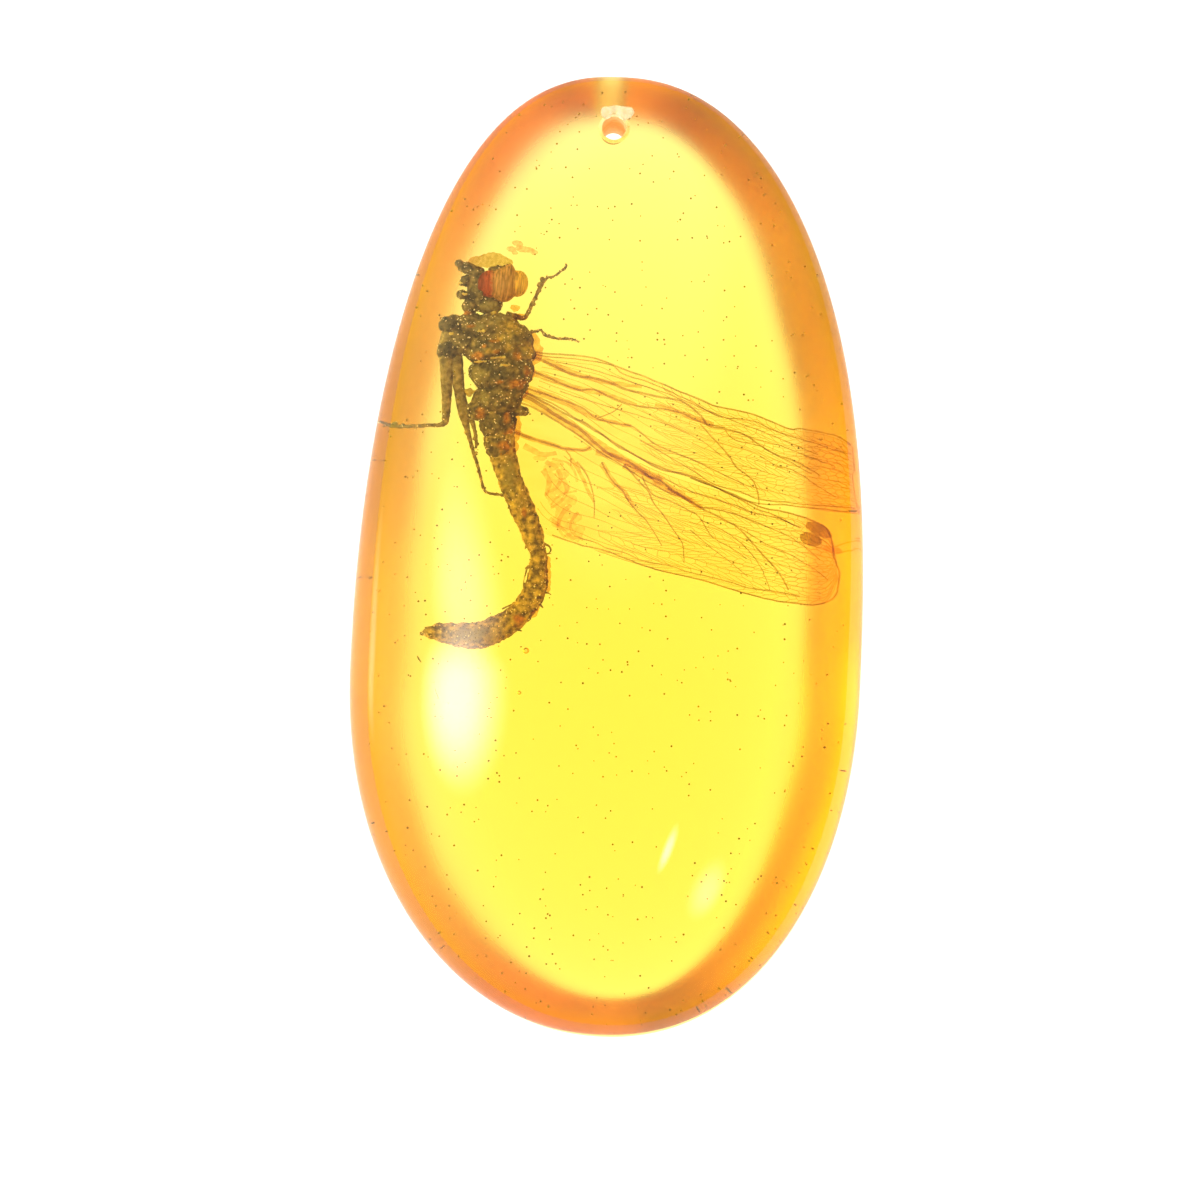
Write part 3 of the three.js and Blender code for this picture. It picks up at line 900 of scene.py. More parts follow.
# %% Edges of the wings
FORE_WING_Z = 7.35
HIND_WING_Z = 6.65
FORE_FRONT = [
    (524, 349), (543, 353), (594, 358), (621, 368), (648, 378), (681, 392), (715, 406), (748, 413),
    (790, 429), (820, 434), (840, 440), (851, 447),
]
FORE_HIND = [
    (516, 386), (538, 396), (562, 409), (587, 424), (618, 446), (659, 468), (690, 477), (714, 485),
    (741, 493), (770, 501), (800, 507), (830, 511), (857, 514),
]
HIND_FRONT = [
    (514, 393), (534, 402), (564, 418), (605, 444), (650, 468), (690, 483), (728, 494), (761, 507),
    (800, 516), (826, 528), (834, 548),
]
HIND_HIND = [
    (504, 440), (518, 490), (540, 530), (581, 545), (621, 559), (662, 571), (700, 580), (737, 591),
    (772, 600), (800, 604), (826, 602), (838, 578),
]
RIPPLE = 0.16
RIPPLE_LENGTH = 55.0
RIPPLE_SEED = 90
EDGE_FINENESS = 12


def even_line(points, count):
    """Points at even distances along a smooth line through pixels."""
    line = smooth_line([Vector(point) for point in points], EDGE_FINENESS)
    lengths = [0.0]
    for start, end in zip(line, line[1:]):
        lengths.append(lengths[-1] + (end - start).length)
    made = []
    for i in range(count + 1):
        wanted = lengths[-1] * i / count
        place = next((k for k in range(1, len(line)) if lengths[k] >= wanted), len(line) - 1)
        share = (wanted - lengths[place - 1]) / (lengths[place] - lengths[place - 1])
        made.append(line[place - 1].lerp(line[place], share))
    return made


# %% Places on the wings
EDGE_STEPS = 200
WINGS = {
    "fore": (even_line(FORE_FRONT, EDGE_STEPS), even_line(FORE_HIND, EDGE_STEPS), FORE_WING_Z),
    "hind": (even_line(HIND_FRONT, EDGE_STEPS), even_line(HIND_HIND, EDGE_STEPS), HIND_WING_Z),
}


def wing_level(pixel, level):
    """The height of a rippled wing at a pixel."""
    return level + RIPPLE * noise.noise(Vector((*pixel, level * RIPPLE_SEED)) / RIPPLE_LENGTH)


def on_wing(wing, along, across):
    """The place in metres at shares along and across a wing."""
    front, hind, level = WINGS[wing]
    step = min(int(along * EDGE_STEPS), EDGE_STEPS - 1)
    rest = along * EDGE_STEPS - step
    front_pixel = front[step].lerp(front[step + 1], rest)
    hind_pixel = hind[step].lerp(hind[step + 1], rest)
    pixel = front_pixel.lerp(hind_pixel, across)
    return seat(pixel, wing_level(pixel, level)) * MM


for wing in WINGS:
    span = on_wing(wing, 1.0, 0.5) - on_wing(wing, 0.0, 0.5)
    print(wing, "wing", round(span.length / MM, 1), "mm long")

# %% Wing films
FILM_THICKNESS = 0.04
FILM_STEPS = (70, 24)

film = film_finish("wing_film", (1.0, 0.94, 0.8), (0.98, 0.86, 0.64), 1.6, (0.4, 1, 1))
for wing in WINGS:
    sheet = bmesh.new()
    unit = Matrix.Translation((0.5, 0.5, 0))
    bmesh.ops.create_grid(sheet, x_segments=FILM_STEPS[0], y_segments=FILM_STEPS[1], size=0.5, matrix=unit)
    for vertex in sheet.verts:
        vertex.co = on_wing(wing, vertex.co.x, vertex.co.y)
    bmesh.ops.recalc_face_normals(sheet, faces=sheet.faces)
    bmesh.ops.solidify(sheet, geom=sheet.faces[:], thickness=FILM_THICKNESS * MM)
    piece_from(sheet, wing + "_wing_film", film, "insect", "dragonfly")

# %% [markdown]
# ## Main veins
# A few long veins fan out from each wing's root. They are drawn over the picture, pixel by
# pixel, seated on the rippled wing and swept as thin tubes that narrow towards the tip. Between them
# run finer lines. These follow the wing's own edges, so a share across the wing and a little wander
# place them, and no pixel has to be picked.

# %% Main veins
FORE_VEINS = [
    ([(529, 350), (543, 353), (570, 355), (594, 358), (621, 368), (648, 378), (681, 392), (704, 401),
      (715, 406), (748, 413), (765, 419), (790, 429), (803, 429), (836, 436), (850, 445)], 1.0, 0.8),
    ([(534, 354), (552, 357), (576, 359), (611, 365), (623, 374), (653, 384), (690, 401), (718, 416),
      (740, 419), (756, 422), (778, 432), (800, 439), (820, 445), (838, 451), (850, 454)], 0.7, 0.7),
    ([(526, 355), (540, 359), (558, 368), (575, 375), (592, 378), (608, 382), (625, 389), (659, 397),
      (681, 401), (700, 415), (709, 426), (725, 429), (743, 434), (761, 446), (777, 455), (790, 459),
      (808, 468), (820, 476)], 1.6, 0.7),
    ([(522, 368), (537, 373), (558, 382), (579, 390), (592, 389), (606, 395), (622, 402), (637, 406),
      (664, 409), (681, 413), (700, 422), (725, 428)], 1.3, 0.7),
    ([(622, 404), (613, 412), (597, 418)], 0.7, 0.6),
    ([(518, 385), (532, 390), (562, 400), (581, 407), (596, 418), (613, 423), (631, 426), (641, 433),
      (657, 445), (681, 455), (700, 463), (722, 474), (744, 484)], 1.1, 0.6),
    ([(522, 392), (540, 398), (562, 409), (575, 418), (587, 424), (603, 435), (618, 447), (632, 453),
      (659, 469), (681, 473), (700, 479), (729, 494), (756, 503), (784, 505), (814, 508),
      (856, 513)], 1.0, 0.7),
    ([(640, 440), (690, 469), (714, 484), (741, 492), (758, 499), (784, 502), (814, 505),
      (856, 508)], 0.6, 0.7),
    ([(700, 424), (714, 439), (729, 456), (737, 468), (747, 475), (754, 483), (758, 493),
      (759, 505)], 0.8, 0.8),
    ([(725, 430), (735, 440), (760, 446), (772, 453), (790, 462), (812, 474)], 0.6, 0.5),
    ([(743, 434), (756, 439), (781, 446), (806, 456), (834, 466)], 0.6, 0.5),
    ([(760, 456), (777, 466), (790, 469), (802, 475), (817, 486), (836, 497)], 0.6, 0.5),
    ([(556, 362), (590, 369), (628, 381), (668, 394), (706, 410), (742, 424), (776, 437),
      (818, 455)], 0.6, 0.5),
    ([(560, 391), (596, 403), (634, 414), (668, 425), (700, 440), (722, 456)], 0.6, 0.4),
]
HIND_VEINS = [
    ([(518, 394), (534, 401), (551, 412), (564, 420), (579, 428), (587, 435), (594, 442), (605, 451),
      (616, 457), (629, 462), (648, 476), (661, 481), (676, 492), (700, 507)], 2.2, 0.9),
    ([(520, 391), (536, 398), (560, 411), (584, 424), (610, 440), (640, 458), (668, 470), (690, 477),
      (728, 493), (755, 508), (772, 514), (787, 522), (802, 528)], 1.2, 0.7),
    ([(519, 402), (534, 408), (556, 421), (580, 436), (600, 452), (622, 465), (648, 482),
      (676, 496)], 1.1, 0.7),
    ([(690, 478), (728, 492), (761, 507), (780, 511), (800, 516), (815, 522), (826, 528),
      (831, 537)], 0.8, 1.0),
    ([(664, 478), (690, 491), (718, 500), (737, 506), (751, 512), (780, 519), (800, 528)], 0.7, 0.7),
    ([(831, 537), (834, 557), (839, 573), (837, 591), (831, 600), (816, 605), (794, 603), (772, 600),
      (737, 591), (702, 580), (662, 571), (637, 563), (603, 550), (581, 545), (552, 535)], 0.8, 0.8),
    ([(574, 536), (596, 543), (606, 548), (625, 553), (641, 560), (670, 566), (685, 571), (711, 577),
      (729, 582), (749, 588), (772, 591), (800, 596)], 0.6, 0.7),
    ([(514, 432), (540, 441), (556, 446), (567, 449), (584, 450), (590, 447)], 1.6, 1.0),
    ([(566, 451), (571, 458), (571, 466)], 0.9, 0.5),
    ([(577, 462), (586, 473), (592, 489), (594, 500), (594, 518)], 1.0, 0.5),
    ([(602, 462), (611, 479), (622, 490), (628, 500), (637, 511), (648, 523), (662, 546)], 1.0, 0.5),
    ([(624, 464), (637, 479), (648, 491), (653, 502), (664, 516), (673, 529), (679, 538), (683, 546),
      (684, 563)], 1.0, 0.5),
    ([(642, 476), (652, 494), (670, 501), (690, 511), (700, 518), (708, 532), (718, 541), (730, 547),
      (747, 559)], 0.8, 0.5),
    ([(668, 488), (690, 502), (711, 513), (725, 520), (737, 527), (747, 537), (763, 555), (776, 569),
      (784, 581), (788, 590)], 1.0, 0.8),
    ([(700, 507), (724, 511), (748, 519), (765, 526), (784, 534), (793, 539), (806, 548),
      (820, 560)], 0.8, 0.5),
    ([(740, 528), (768, 545), (793, 556), (802, 562), (813, 568), (828, 580)], 0.6, 0.5),
    ([(700, 520), (726, 532), (748, 550), (762, 570), (770, 590)], 0.6, 0.4),
    ([(690, 530), (712, 548), (730, 562), (748, 577)], 0.5, 0.4),
]
VEIN_SIDES = 6
VEIN_STEP_PX = 4
FEWEST_STEPS = 8
WANDER_PX = 0.5
WANDER_LENGTH_PX = 9.0
WANDER_SEED = 40


def vein_line(points, root, tip, level):
    """A vein's line in metres on a rippled wing, from pixels and its half widths at root and tip."""
    length = sum(math.dist(start, end) for start, end in zip(points, points[1:]))
    count = max(FEWEST_STEPS, int(length / VEIN_STEP_PX))
    line = []
    for i, pixel in enumerate(even_line(points, count)):
        shift = noise.noise_vector(Vector((*pixel, level * WANDER_SEED)) / WANDER_LENGTH_PX) * WANDER_PX
        pixel = pixel + Vector((shift.x, shift.y))
        half_width = root + (tip - root) * i / count
        place = seat(pixel, wing_level(pixel, level)) * MM
        line.append(Vector((*place, half_width * PX * MM)))
    return line


vein = film_finish("vein", (0.68, 0.54, 0.28), (0.5, 0.37, 0.14), 0.8)
for wing, veins in (("fore", FORE_VEINS), ("hind", HIND_VEINS)):
    branches = bmesh.new()
    for points, root, tip in veins:
        add_tube(branches, vein_line(points, root, tip, WINGS[wing][2]), VEIN_SIDES)
    piece_from(branches, wing + "_wing_veins", vein, "insect", "dragonfly")

# %% Fine lines between the veins
FINE_LINES = {"fore": (0.06, 0.98, 9), "hind": (0.2, 0.97, 10)}
FINE_HALF_WIDTH = 0.38
FINE_WANDER = 0.05
FINE_WAVES = 9
FINE_SEED = 7.3
FINE_STEPS = 70
FINE_SIDES = 4

cell_bars = film_finish("cell_bars", (0.84, 0.72, 0.46), (0.7, 0.56, 0.28), 3.0)
for wing, (start, end, count) in FINE_LINES.items():
    strands = bmesh.new()
    for i in range(1, count):
        line = []
        for step in range(FINE_STEPS + 1):
            along = start + (end - start) * step / FINE_STEPS
            wander = noise.noise(Vector((along * FINE_WAVES, i * FINE_SEED, start)))
            across = i / count + FINE_WANDER * wander
            line.append(Vector((*on_wing(wing, along, across), FINE_HALF_WIDTH * PX * MM)))
        add_tube(strands, line, FINE_SIDES)
    piece_from(strands, wing + "_wing_lines", cell_bars, "insect", "dragonfly")

# %% [markdown]
# ## Smears, folds and the wing mark
# Near the roots the veins are pressed together into brown ribbons, and the wing skin behind the root
# is crumpled into curls over a creased patch. The hind wing ends in a dark mark of two lobes beside an
# orange scrap with two threads. Ribbons and curls are flat tubes along listed pixels, the patch is
# a few flat lumps melted together, and the lobes are low lumps.

# %% Ribbons and curls
RIBBONS = [
    ([(518, 394), (534, 401), (564, 420), (594, 441), (629, 463), (661, 482), (702, 508)], 5.5, 2.6),
    ([(526, 356), (540, 358), (575, 374), (608, 382), (642, 387)], 4, 1.6),
    ([(522, 369), (537, 374), (579, 389), (606, 394), (637, 405)], 4, 1.4),
    ([(518, 386), (534, 391), (562, 401), (596, 418), (631, 426)], 4.5, 1.6),
    ([(655, 404), (676, 411), (694, 418), (713, 425)], 2.2, 3),
    ([(512, 430), (530, 438), (556, 446), (574, 450), (591, 448)], 2.6, 2.2),
    ([(602, 463), (612, 480), (624, 492), (634, 507)], 3, 2),
    ([(624, 465), (648, 478), (672, 492), (692, 501)], 3.4, 2),
    ([(596, 452), (618, 458), (640, 470), (664, 480)], 3, 3),
    ([(571, 459), (579, 470), (586, 486), (594, 502)], 2, 1.2),
]
CURLS = [
    ([(546, 462), (556, 467), (561, 478), (556, 488), (548, 492)], 2.2, 1.4),
    ([(563, 478), (567, 490), (561, 501), (551, 508)], 2.4, 1.2),
    ([(577, 491), (567, 493), (557, 497), (551, 505)], 1.4, 1.0),
    ([(571, 505), (562, 514), (558, 527), (565, 537)], 2.2, 1.4),
    ([(578, 512), (571, 522), (573, 533), (583, 540)], 1.6, 1.0),
    ([(543, 470), (549, 482), (546, 496)], 3, 2),
    ([(550, 518), (560, 527), (570, 536), (579, 541)], 1.8, 1.4),
    ([(524, 446), (536, 452), (546, 455), (556, 453)], 3, 2),
    ([(552, 459), (566, 462), (574, 470), (577, 482)], 1.2, 1.2),
]
RIBBON_FLATNESS = 0.2
RIBBON_SIDES = 10
RIBBON_RELIEF = (0.08, 0.5)

smear = film_finish("brown_smear", (0.95, 0.8, 0.5), (0.74, 0.52, 0.2), 0.35, (0.5, 1, 1))
fold = film_finish("folded_skin", (0.96, 0.86, 0.7), (0.86, 0.64, 0.44), 0.4)
for name, routes, finish in (("root_ribbons", RIBBONS, smear), ("wing_curls", CURLS, fold)):
    bands = bmesh.new()
    for points, root, tip in routes:
        add_tube(bands, vein_line(points, root, tip, HIND_WING_Z), RIBBON_SIDES, RIBBON_FLATNESS)
    roughen(bands, *RIBBON_RELIEF)
    piece_from(bands, name, finish, "insect", "dragonfly")

# %% Crumpled skin
CREASES = [
    ((549, 468), 6, 5), ((556, 464), 8, 4), ((562, 474), 7, 6), ((552, 480), 6, 8), ((561, 488), 9, 7),
    ((550, 494), 5, 7), ((557, 502), 9, 6), ((570, 500), 7, 6), ((563, 513), 8, 7), ((557, 522), 6, 6),
    ((568, 526), 8, 6), ((576, 517), 6, 5), ((573, 536), 8, 4), ((540, 458), 7, 3), ((580, 530), 5, 5),
]
CREASE_DEPTH = 0.12
CREASE_VOXEL = 0.08
CREASE_RELIEF = (0.1, 0.35)

creased = film_finish("creased_skin", (0.98, 0.9, 0.76), (0.88, 0.7, 0.48), 0.35)
creases = bmesh.new()
for pixel, across, along in CREASES:
    add_lump(creases, pixel, across, along, CREASE_DEPTH, level=HIND_WING_Z)
creases = fused(creases, CREASE_VOXEL, 1)
roughen(creases, *CREASE_RELIEF)
piece_from(creases, "crumpled_skin", creased, "insect", "dragonfly")

# %% The wing mark, its scrap and threads
MARK_LOBES = [((819, 530), 13, 5.6, -28), ((811, 539.5), 10.5, 6.5, -15)]
SCRAP_LUMPS = [((830, 549), 5.5, 3, -20), ((837, 551), 4, 3.4, 0)]
THREADS = [([(834, 547), (845, 543), (853, 541), (861, 538)], 0.8, 0.5),
           ([(836, 553), (849, 551), (860, 548)], 0.9, 0.5)]
MARK_DEPTH = 0.14
MARK_RELIEF = (0.08, 0.5)

marks = film_finish("wing_mark", (0.66, 0.52, 0.12), (0.46, 0.34, 0.04), 0.5)
amber_scrap = film_finish("orange_scrap", (1.0, 0.74, 0.4), (0.95, 0.55, 0.2), 0.4)
for name, lobes, finish in (("wing_mark", MARK_LOBES, marks), ("orange_scrap", SCRAP_LUMPS, amber_scrap)):
    lumps = bmesh.new()
    for pixel, across, along, turn in lobes:
        add_lump(lumps, pixel, across, along, MARK_DEPTH, turn=turn, level=HIND_WING_Z)
    roughen(lumps, *MARK_RELIEF)
    piece_from(lumps, name, finish, "insect", "dragonfly")
threads = bmesh.new()
for points, root, tip in THREADS:
    add_tube(threads, vein_line(points, root, tip, HIND_WING_Z), VEIN_SIDES)
piece_from(threads, "threads", amber_scrap, "insect", "dragonfly")

# %% [markdown]
# ## The net of cells
# Between the main veins a dragonfly's wing is a fine net. A brick wall is already a net of
# six-cornered cells, so a grid loses every other upright edge, row by row, and a few passes of
# smoothing and a little shake round the bricks into cells. The net is then laid on the wing and
# turned into thin bars by the wireframe operator.

# %% Nets
NETS = {"fore": (0.42, 1.0, 40, 17), "hind": (0.4, 1.0, 42, 20)}
NET_THICKNESS = 0.065
CELL_SHAKE = 0.5
CELL_SMOOTHING = 0.4
NET_RAGGED = 0.16
NET_RAGGED_WAVES = 11


def cell_net(columns, rows):
    """A net of six-cornered cells in a unit square."""
    net = bmesh.new()
    unit = Matrix.Translation((0.5, 0.5, 0))
    bmesh.ops.create_grid(net, x_segments=columns, y_segments=rows, size=0.5, matrix=unit)
    spare = []
    for edge in net.edges:
        start, end = (vertex.co for vertex in edge.verts)
        column = round(start.x * columns)
        row = int((start.y + end.y) / 2 * rows)
        upright = abs(start.x - end.x) < 0.1 / columns
        if upright and 0 < column < columns and (column + row) % 2:
            spare.append(edge)
    bmesh.ops.dissolve_edges(net, edges=spare, use_verts=False)
    inner = [vertex for vertex in net.verts if not vertex.is_boundary]
    for vertex in inner:
        vertex.co.x += draw.uniform(-1, 1) * CELL_SHAKE / columns
        vertex.co.y += draw.uniform(-1, 1) * CELL_SHAKE / rows
    for _ in range(2):
        bmesh.ops.smooth_vert(net, verts=inner, factor=CELL_SMOOTHING, use_axis_x=True, use_axis_y=True)
    return net


for wing, (start, end, columns, rows) in NETS.items():
    net = cell_net(columns, rows)
    for vertex in net.verts:
        wave = noise.noise(Vector((0, vertex.co.y * NET_RAGGED_WAVES, start)))
        ragged = NET_RAGGED * (1 - vertex.co.x) * wave
        vertex.co = on_wing(wing, start + (end - start) * vertex.co.x + ragged, vertex.co.y)
    bmesh.ops.recalc_face_normals(net, faces=net.faces)
    bmesh.ops.wireframe(net, faces=net.faces[:], thickness=NET_THICKNESS * MM, use_replace=True,
                        use_boundary=True, use_even_offset=False)
    piece_from(net, wing + "_wing_net", cell_bars, "insect", "dragonfly")

# %% [markdown]
# ## Bubbles and dust
# Tiny bubbles cling all over the body as golden dots, and brown specks of dust hang in the clear
# resin. The bubbles have a painted glint: they glow a little by their own emission. Bubbles sit on
# points of the body's own skin, so they touch it from every side, and specks fill the drop well inside
# its skin. Each is a ball of twenty faces, because there are many of them. Two round bubbles of air
# below the body are larger, and show as clear rings. Seen from the resin, air has an index below one.

# %% Bubbles on the body
BUBBLE_COUNTS = {"head_and_thorax": 950, "abdomen": 520, "legs": 120}
BUBBLE_RADIUS = (0.025, 0.085)
# The bubbles' emission is a painted glint.
BUBBLE_GLINT = 0.3


def add_bead(bm, place, radius):
    bmesh.ops.create_icosphere(bm, subdivisions=1, radius=radius * MM, matrix=Matrix.Translation(place))


bubbles = bmesh.new()
for piece in (body, abdomen, legs):
    points = piece.data.vertices
    for spot in draw.sample(range(len(points)), BUBBLE_COUNTS[piece.name]):
        add_bead(bubbles, points[spot].co, draw.triangular(*BUBBLE_RADIUS, BUBBLE_RADIUS[0]))
golden = bead_finish("golden_bubbles", (0.8, 0.5, 0.2), (1.0, 0.9, 0.7), 0.4, BUBBLE_GLINT)
piece_from(bubbles, "body_bubbles", golden, "insect", "dragonfly")

# %% Two round bubbles
ROUND_BUBBLES = [((526.3, 650.6), 3.0), ((519.4, 692.7), 2.0)]
BUBBLE_IOR = 1 / AMBER_IOR
BUBBLE_HAZE = 0.05

hollow, hollow_tree, hollow_shader = new_finish("air", IOR=BUBBLE_IOR, Transmission_Weight=1.0)
haze = add_node(hollow_tree, "MapRange", To_Max=BUBBLE_HAZE)
hollow_tree.links.new(grain(hollow_tree, 0.2), haze.inputs["Value"])
hollow_tree.links.new(haze.outputs["Result"], hollow_shader.inputs["Roughness"])
round_bubbles = bmesh.new()
for pixel, half_width in ROUND_BUBBLES:
    add_lump(round_bubbles, pixel, half_width, half_width, half_width * PX)
piece_from(round_bubbles, "round_bubbles", hollow, "debris")

# %% Dust in the resin
DUST_COUNT = 900
DUST_RADIUS = (0.045, 0.09)
DUST_ACROSS_PX = (370, 850)
DUST_ALONG_PX = (85, 1025)
DUST_SHARES = (0.3, 0.86)
DOWN = Vector((0, 0, -1))

dust = bmesh.new()
placed = 0
while placed < DUST_COUNT:
    pixel = (draw.uniform(*DUST_ACROSS_PX), draw.uniform(*DUST_ALONG_PX))
    surface, _ = sight(pixel)
    place = seat(pixel, surface.z * draw.uniform(*DUST_SHARES)) * MM
    if surface.z < THICKNESS and skin.ray_cast(place, DOWN)[0] is not None:
        add_bead(dust, place, draw.uniform(*DUST_RADIUS))
        placed += 1
brown = bead_finish("dust", (0.2, 0.13, 0.02), (0.5, 0.35, 0.06), 5.0)
piece_from(dust, "dust_specks", brown, "debris")

# %% [markdown]
# ## The flake
# A thin, reddish scrap of plant lies over the head. It is a few flat patches melted together.

# %% Flake
FLAKE_Z = 7.0
FLAKE_PATCHES = [((511, 249), 5, 3), ((518, 243.5), 6, 3), ((522, 249), 7, 3.4), ((530, 250), 6, 3),
                 ((534, 252.5), 4, 2.6), ((515, 253), 3.4, 2)]
FLAKE_DEPTH = 0.12
FLAKE_TURN = -15
FLAKE_VOXEL = 0.06
FLAKE_RELIEF = (0.08, 0.35)

flake = bmesh.new()
for pixel, across, along in FLAKE_PATCHES:
    add_lump(flake, pixel, across, along, FLAKE_DEPTH, level=FLAKE_Z, turn=FLAKE_TURN)
flake = fused(flake, FLAKE_VOXEL, 1)
roughen(flake, *FLAKE_RELIEF)
scrap = film_finish("flake", (0.94, 0.75, 0.68), (0.8, 0.48, 0.38), 0.25)
piece_from(flake, "plant_flake", scrap, "debris", "debris_flake")

# %% [markdown]
# ## The cream lip
# Above the hole a cream patch lies just under the skin. Its emission is a painted glow.

# %% Cream lip
LIP_PATCHES = [((606.5, 112), 6.5, 6.5), ((625, 112.5), 9.5, 7), ((616, 109.5), 13, 4)]
LIP_DEPTH = 0.12
LIP_BELOW = 0.3
# The patch's emission is a painted glow.
LIP_GLOW = 0.25
LIP_VOXEL = 0.05
LIP_RELIEF = (0.08, 0.4)

lip = bmesh.new()
for pixel, across, along in LIP_PATCHES:
    add_lump(lip, pixel, across, along, LIP_DEPTH, level=sight(pixel)[0].z - LIP_BELOW)
lip = fused(lip, LIP_VOXEL, 1)
roughen(lip, *LIP_RELIEF)
cream_patch = bead_finish("cream_patch_glow", (0.85, 0.72, 0.45), (1.0, 0.94, 0.74), 0.5, LIP_GLOW)
piece_from(lip, "cream_lip", cream_patch, "debris")

# %% [markdown]
# ## Floor, light and colour
# The picture is lit softly from everywhere, over white, with a bright softbox at the left that shows as
# a white patch on the dome, a fainter one beyond it and a low one beside the table. A soft edge on each
# lamp keeps its patch from looking like a sticker, and two small lamps on the other side make the pale
# glints. The sky is warm, brighter at the left than at the right, and has one pale patch that lies as a
# haze on the narrow end. The floor is a table that is lit from below, so it is white by its own glow and
# shows no shadow, and colours are shown plainly. It is so wide that stray light finds it unaided, so no
# rays are aimed at it, and the few lamps need no tree to choose from. Both halve the time of a picture.

# %% Floor
FLOOR_SIZE = 2.0
FLOOR_DROP = 0.2
FLOOR_GLOW = 1.18

ground = bmesh.new()
bmesh.ops.create_grid(ground, x_segments=1, y_segments=1, size=FLOOR_SIZE / 2,
                      matrix=Matrix.Translation((0, 0, -FLOOR_DROP * MM)))
ground_mesh = bpy.data.meshes.new("floor")
ground.to_mesh(ground_mesh)
ground.free()
floor = bpy.data.objects.new("floor", ground_mesh)
scene.collection.objects.link(floor)
pale, _, _ = new_finish("pale_floor", Base_Color=(0.25, 0.25, 0.25, 1), Roughness=0.9,
                        Emission_Color=(1, 1, 1, 1), Emission_Strength=FLOOR_GLOW)
pale.cycles.emission_sampling = "NONE"
ground_mesh.materials.append(pale)
print("floor", FLOOR_SIZE, "m wide,", FLOOR_DROP, "mm below the back")

# %% Sky
ZENITH_LIGHT = 0.6
HORIZON_LIGHT = 2.2
ZENITH_TINT = (1, 0.88, 0.62)
HORIZON_TINT = (1, 0.88, 0.22)
HORIZON_AT = 0.1
LIGHT_FALLS_TO = 0.95
TINT_FALLS_TO = 0.6
SIDE_SHARE = 0.42
HAZE_TOWARDS = (0, 0.5, 0.87)
HAZE_FROM = 0.95
HAZE_LIGHT = 1.2

sky = bpy.data.worlds.new("sky")
scene.world = sky
sky.use_nodes = True
tree = sky.node_tree
direction = add_node(tree, "TexCoord")
parts = add_node(tree, "SeparateXYZ")
rise = add_node(tree, "MapRange", From_Min=HORIZON_AT, From_Max=LIGHT_FALLS_TO, To_Min=HORIZON_LIGHT,
                To_Max=ZENITH_LIGHT)
rise.interpolation_type = "SMOOTHSTEP"
tree.links.new(direction.outputs["Generated"], parts.inputs["Vector"])
tree.links.new(parts.outputs["Z"], rise.inputs["Value"])
tint = ramp(tree, parts.outputs["Z"], (HORIZON_AT, HORIZON_TINT), (TINT_FALLS_TO, ZENITH_TINT))
tree.links.new(tint, tree.nodes["Background"].inputs["Color"])
side = add_node(tree, "MapRange", From_Min=-1.0, To_Min=1 + SIDE_SHARE, To_Max=1 - SIDE_SHARE)
tree.links.new(parts.outputs["X"], side.inputs["Value"])
towards = add_node(tree, "VectorMath")
towards.operation = "DOT_PRODUCT"
towards.inputs[1].default_value = HAZE_TOWARDS
tree.links.new(direction.outputs["Generated"], towards.inputs[0])
haze = add_node(tree, "MapRange", From_Min=HAZE_FROM, From_Max=1.0, To_Max=HAZE_LIGHT)
haze.interpolation_type = "SMOOTHSTEP"
tree.links.new(towards.outputs["Value"], haze.inputs["Value"])
light = add_node(tree, "Math")
light.operation = "MULTIPLY_ADD"
tree.links.new(rise.outputs["Result"], light.inputs[0])
tree.links.new(side.outputs["Result"], light.inputs[1])
tree.links.new(haze.outputs["Result"], light.inputs[2])
tree.links.new(light.outputs["Value"], tree.nodes["Background"].inputs["Strength"])
print("sky", HORIZON_LIGHT, "at the horizon,", ZENITH_LIGHT, "overhead")

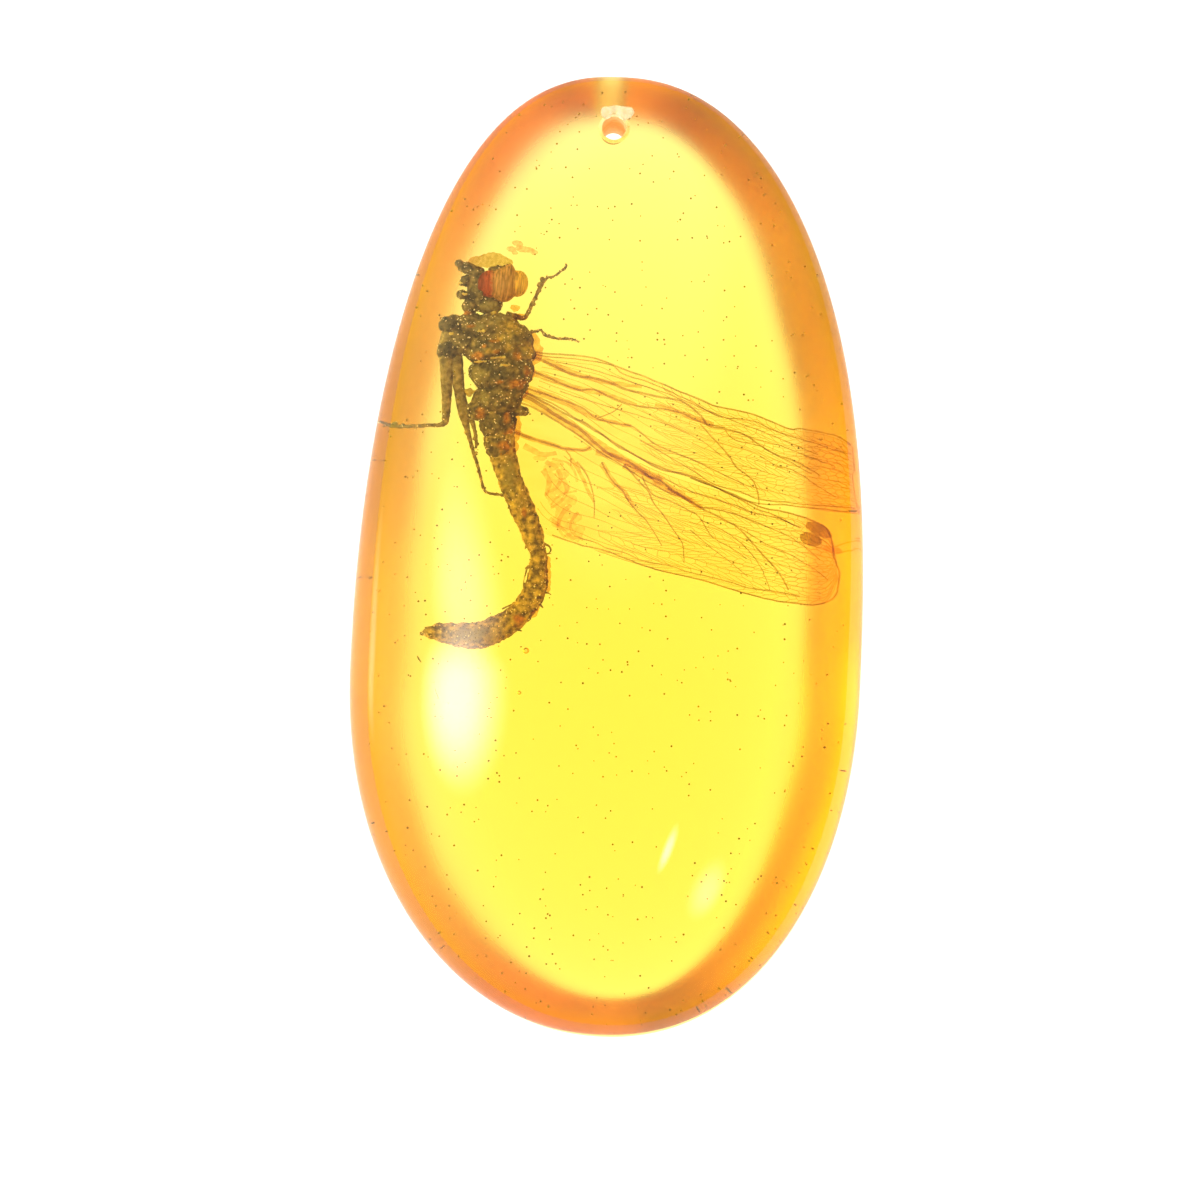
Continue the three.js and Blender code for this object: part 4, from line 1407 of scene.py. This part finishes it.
# %% Lamps with soft edges
LAMPS = {
    "softbox": (Vector((-305, -45, 470)), (250, 300), 0, 3.6),
    "upper_softbox": (Vector((-300, 95, 470)), (200, 270), 0, 0.9),
    "low_softbox": (Vector((-300, -5, 35)), (150, 60), 0, 0.09),
    "leaf_glint": (Vector((106, -172, 470)), (75, 22), 28, 0.055),
    "fan_glint": (Vector((214, -249, 470)), (125, 110), 15, 0.2),
}
LAMP_AIM = Vector((-11, -12, 15))
LAMP_EDGE = 0.5
LAMP_CORE = 0.05

for name, (at, size, turn, watts) in LAMPS.items():
    lamp = bpy.data.lights.new(name, "AREA")
    lamp.shape = "RECTANGLE"
    lamp.size = size[0] * MM
    lamp.size_y = size[1] * MM
    lamp.energy = watts
    lamp.use_nodes = True
    softbox = bpy.data.objects.new(name, lamp)
    softbox.location = at * MM
    aim = (LAMP_AIM - at).to_track_quat("-Z", "Y").to_matrix()
    softbox.rotation_euler = (aim @ Matrix.Rotation(math.radians(turn), 3, "Z")).to_euler()
    scene.collection.objects.link(softbox)
    tree = lamp.node_tree
    place = add_node(tree, "NewGeometry")
    middle = add_node(tree, "VectorMath")
    middle.operation = "SUBTRACT"
    middle.inputs[1].default_value = (0.5, 0.5, 0)
    reach = add_node(tree, "VectorMath")
    reach.operation = "LENGTH"
    fade = add_node(tree, "MapRange", From_Min=LAMP_EDGE, From_Max=LAMP_CORE)
    fade.interpolation_type = "SMOOTHSTEP"
    tree.links.new(place.outputs["Parametric"], middle.inputs[0])
    tree.links.new(middle.outputs["Vector"], reach.inputs[0])
    tree.links.new(reach.outputs["Value"], fade.inputs["Value"])
    tree.links.new(fade.outputs["Result"], tree.nodes["Emission"].inputs["Strength"])
    print(name, size, "mm,", watts, "W")

# %% Plain colours and deep paths through the resin
LIGHT_BOUNCES = 20
BRIGHTEST_BOUNCE = 3.0

scene.view_settings.view_transform = "Standard"
scene.cycles.max_bounces = LIGHT_BOUNCES
scene.cycles.transmission_bounces = LIGHT_BOUNCES
scene.cycles.glossy_bounces = LIGHT_BOUNCES // 2
scene.cycles.sample_clamp_indirect = BRIGHTEST_BOUNCE
scene.cycles.use_light_tree = False
print("light may turn", LIGHT_BOUNCES, "times")
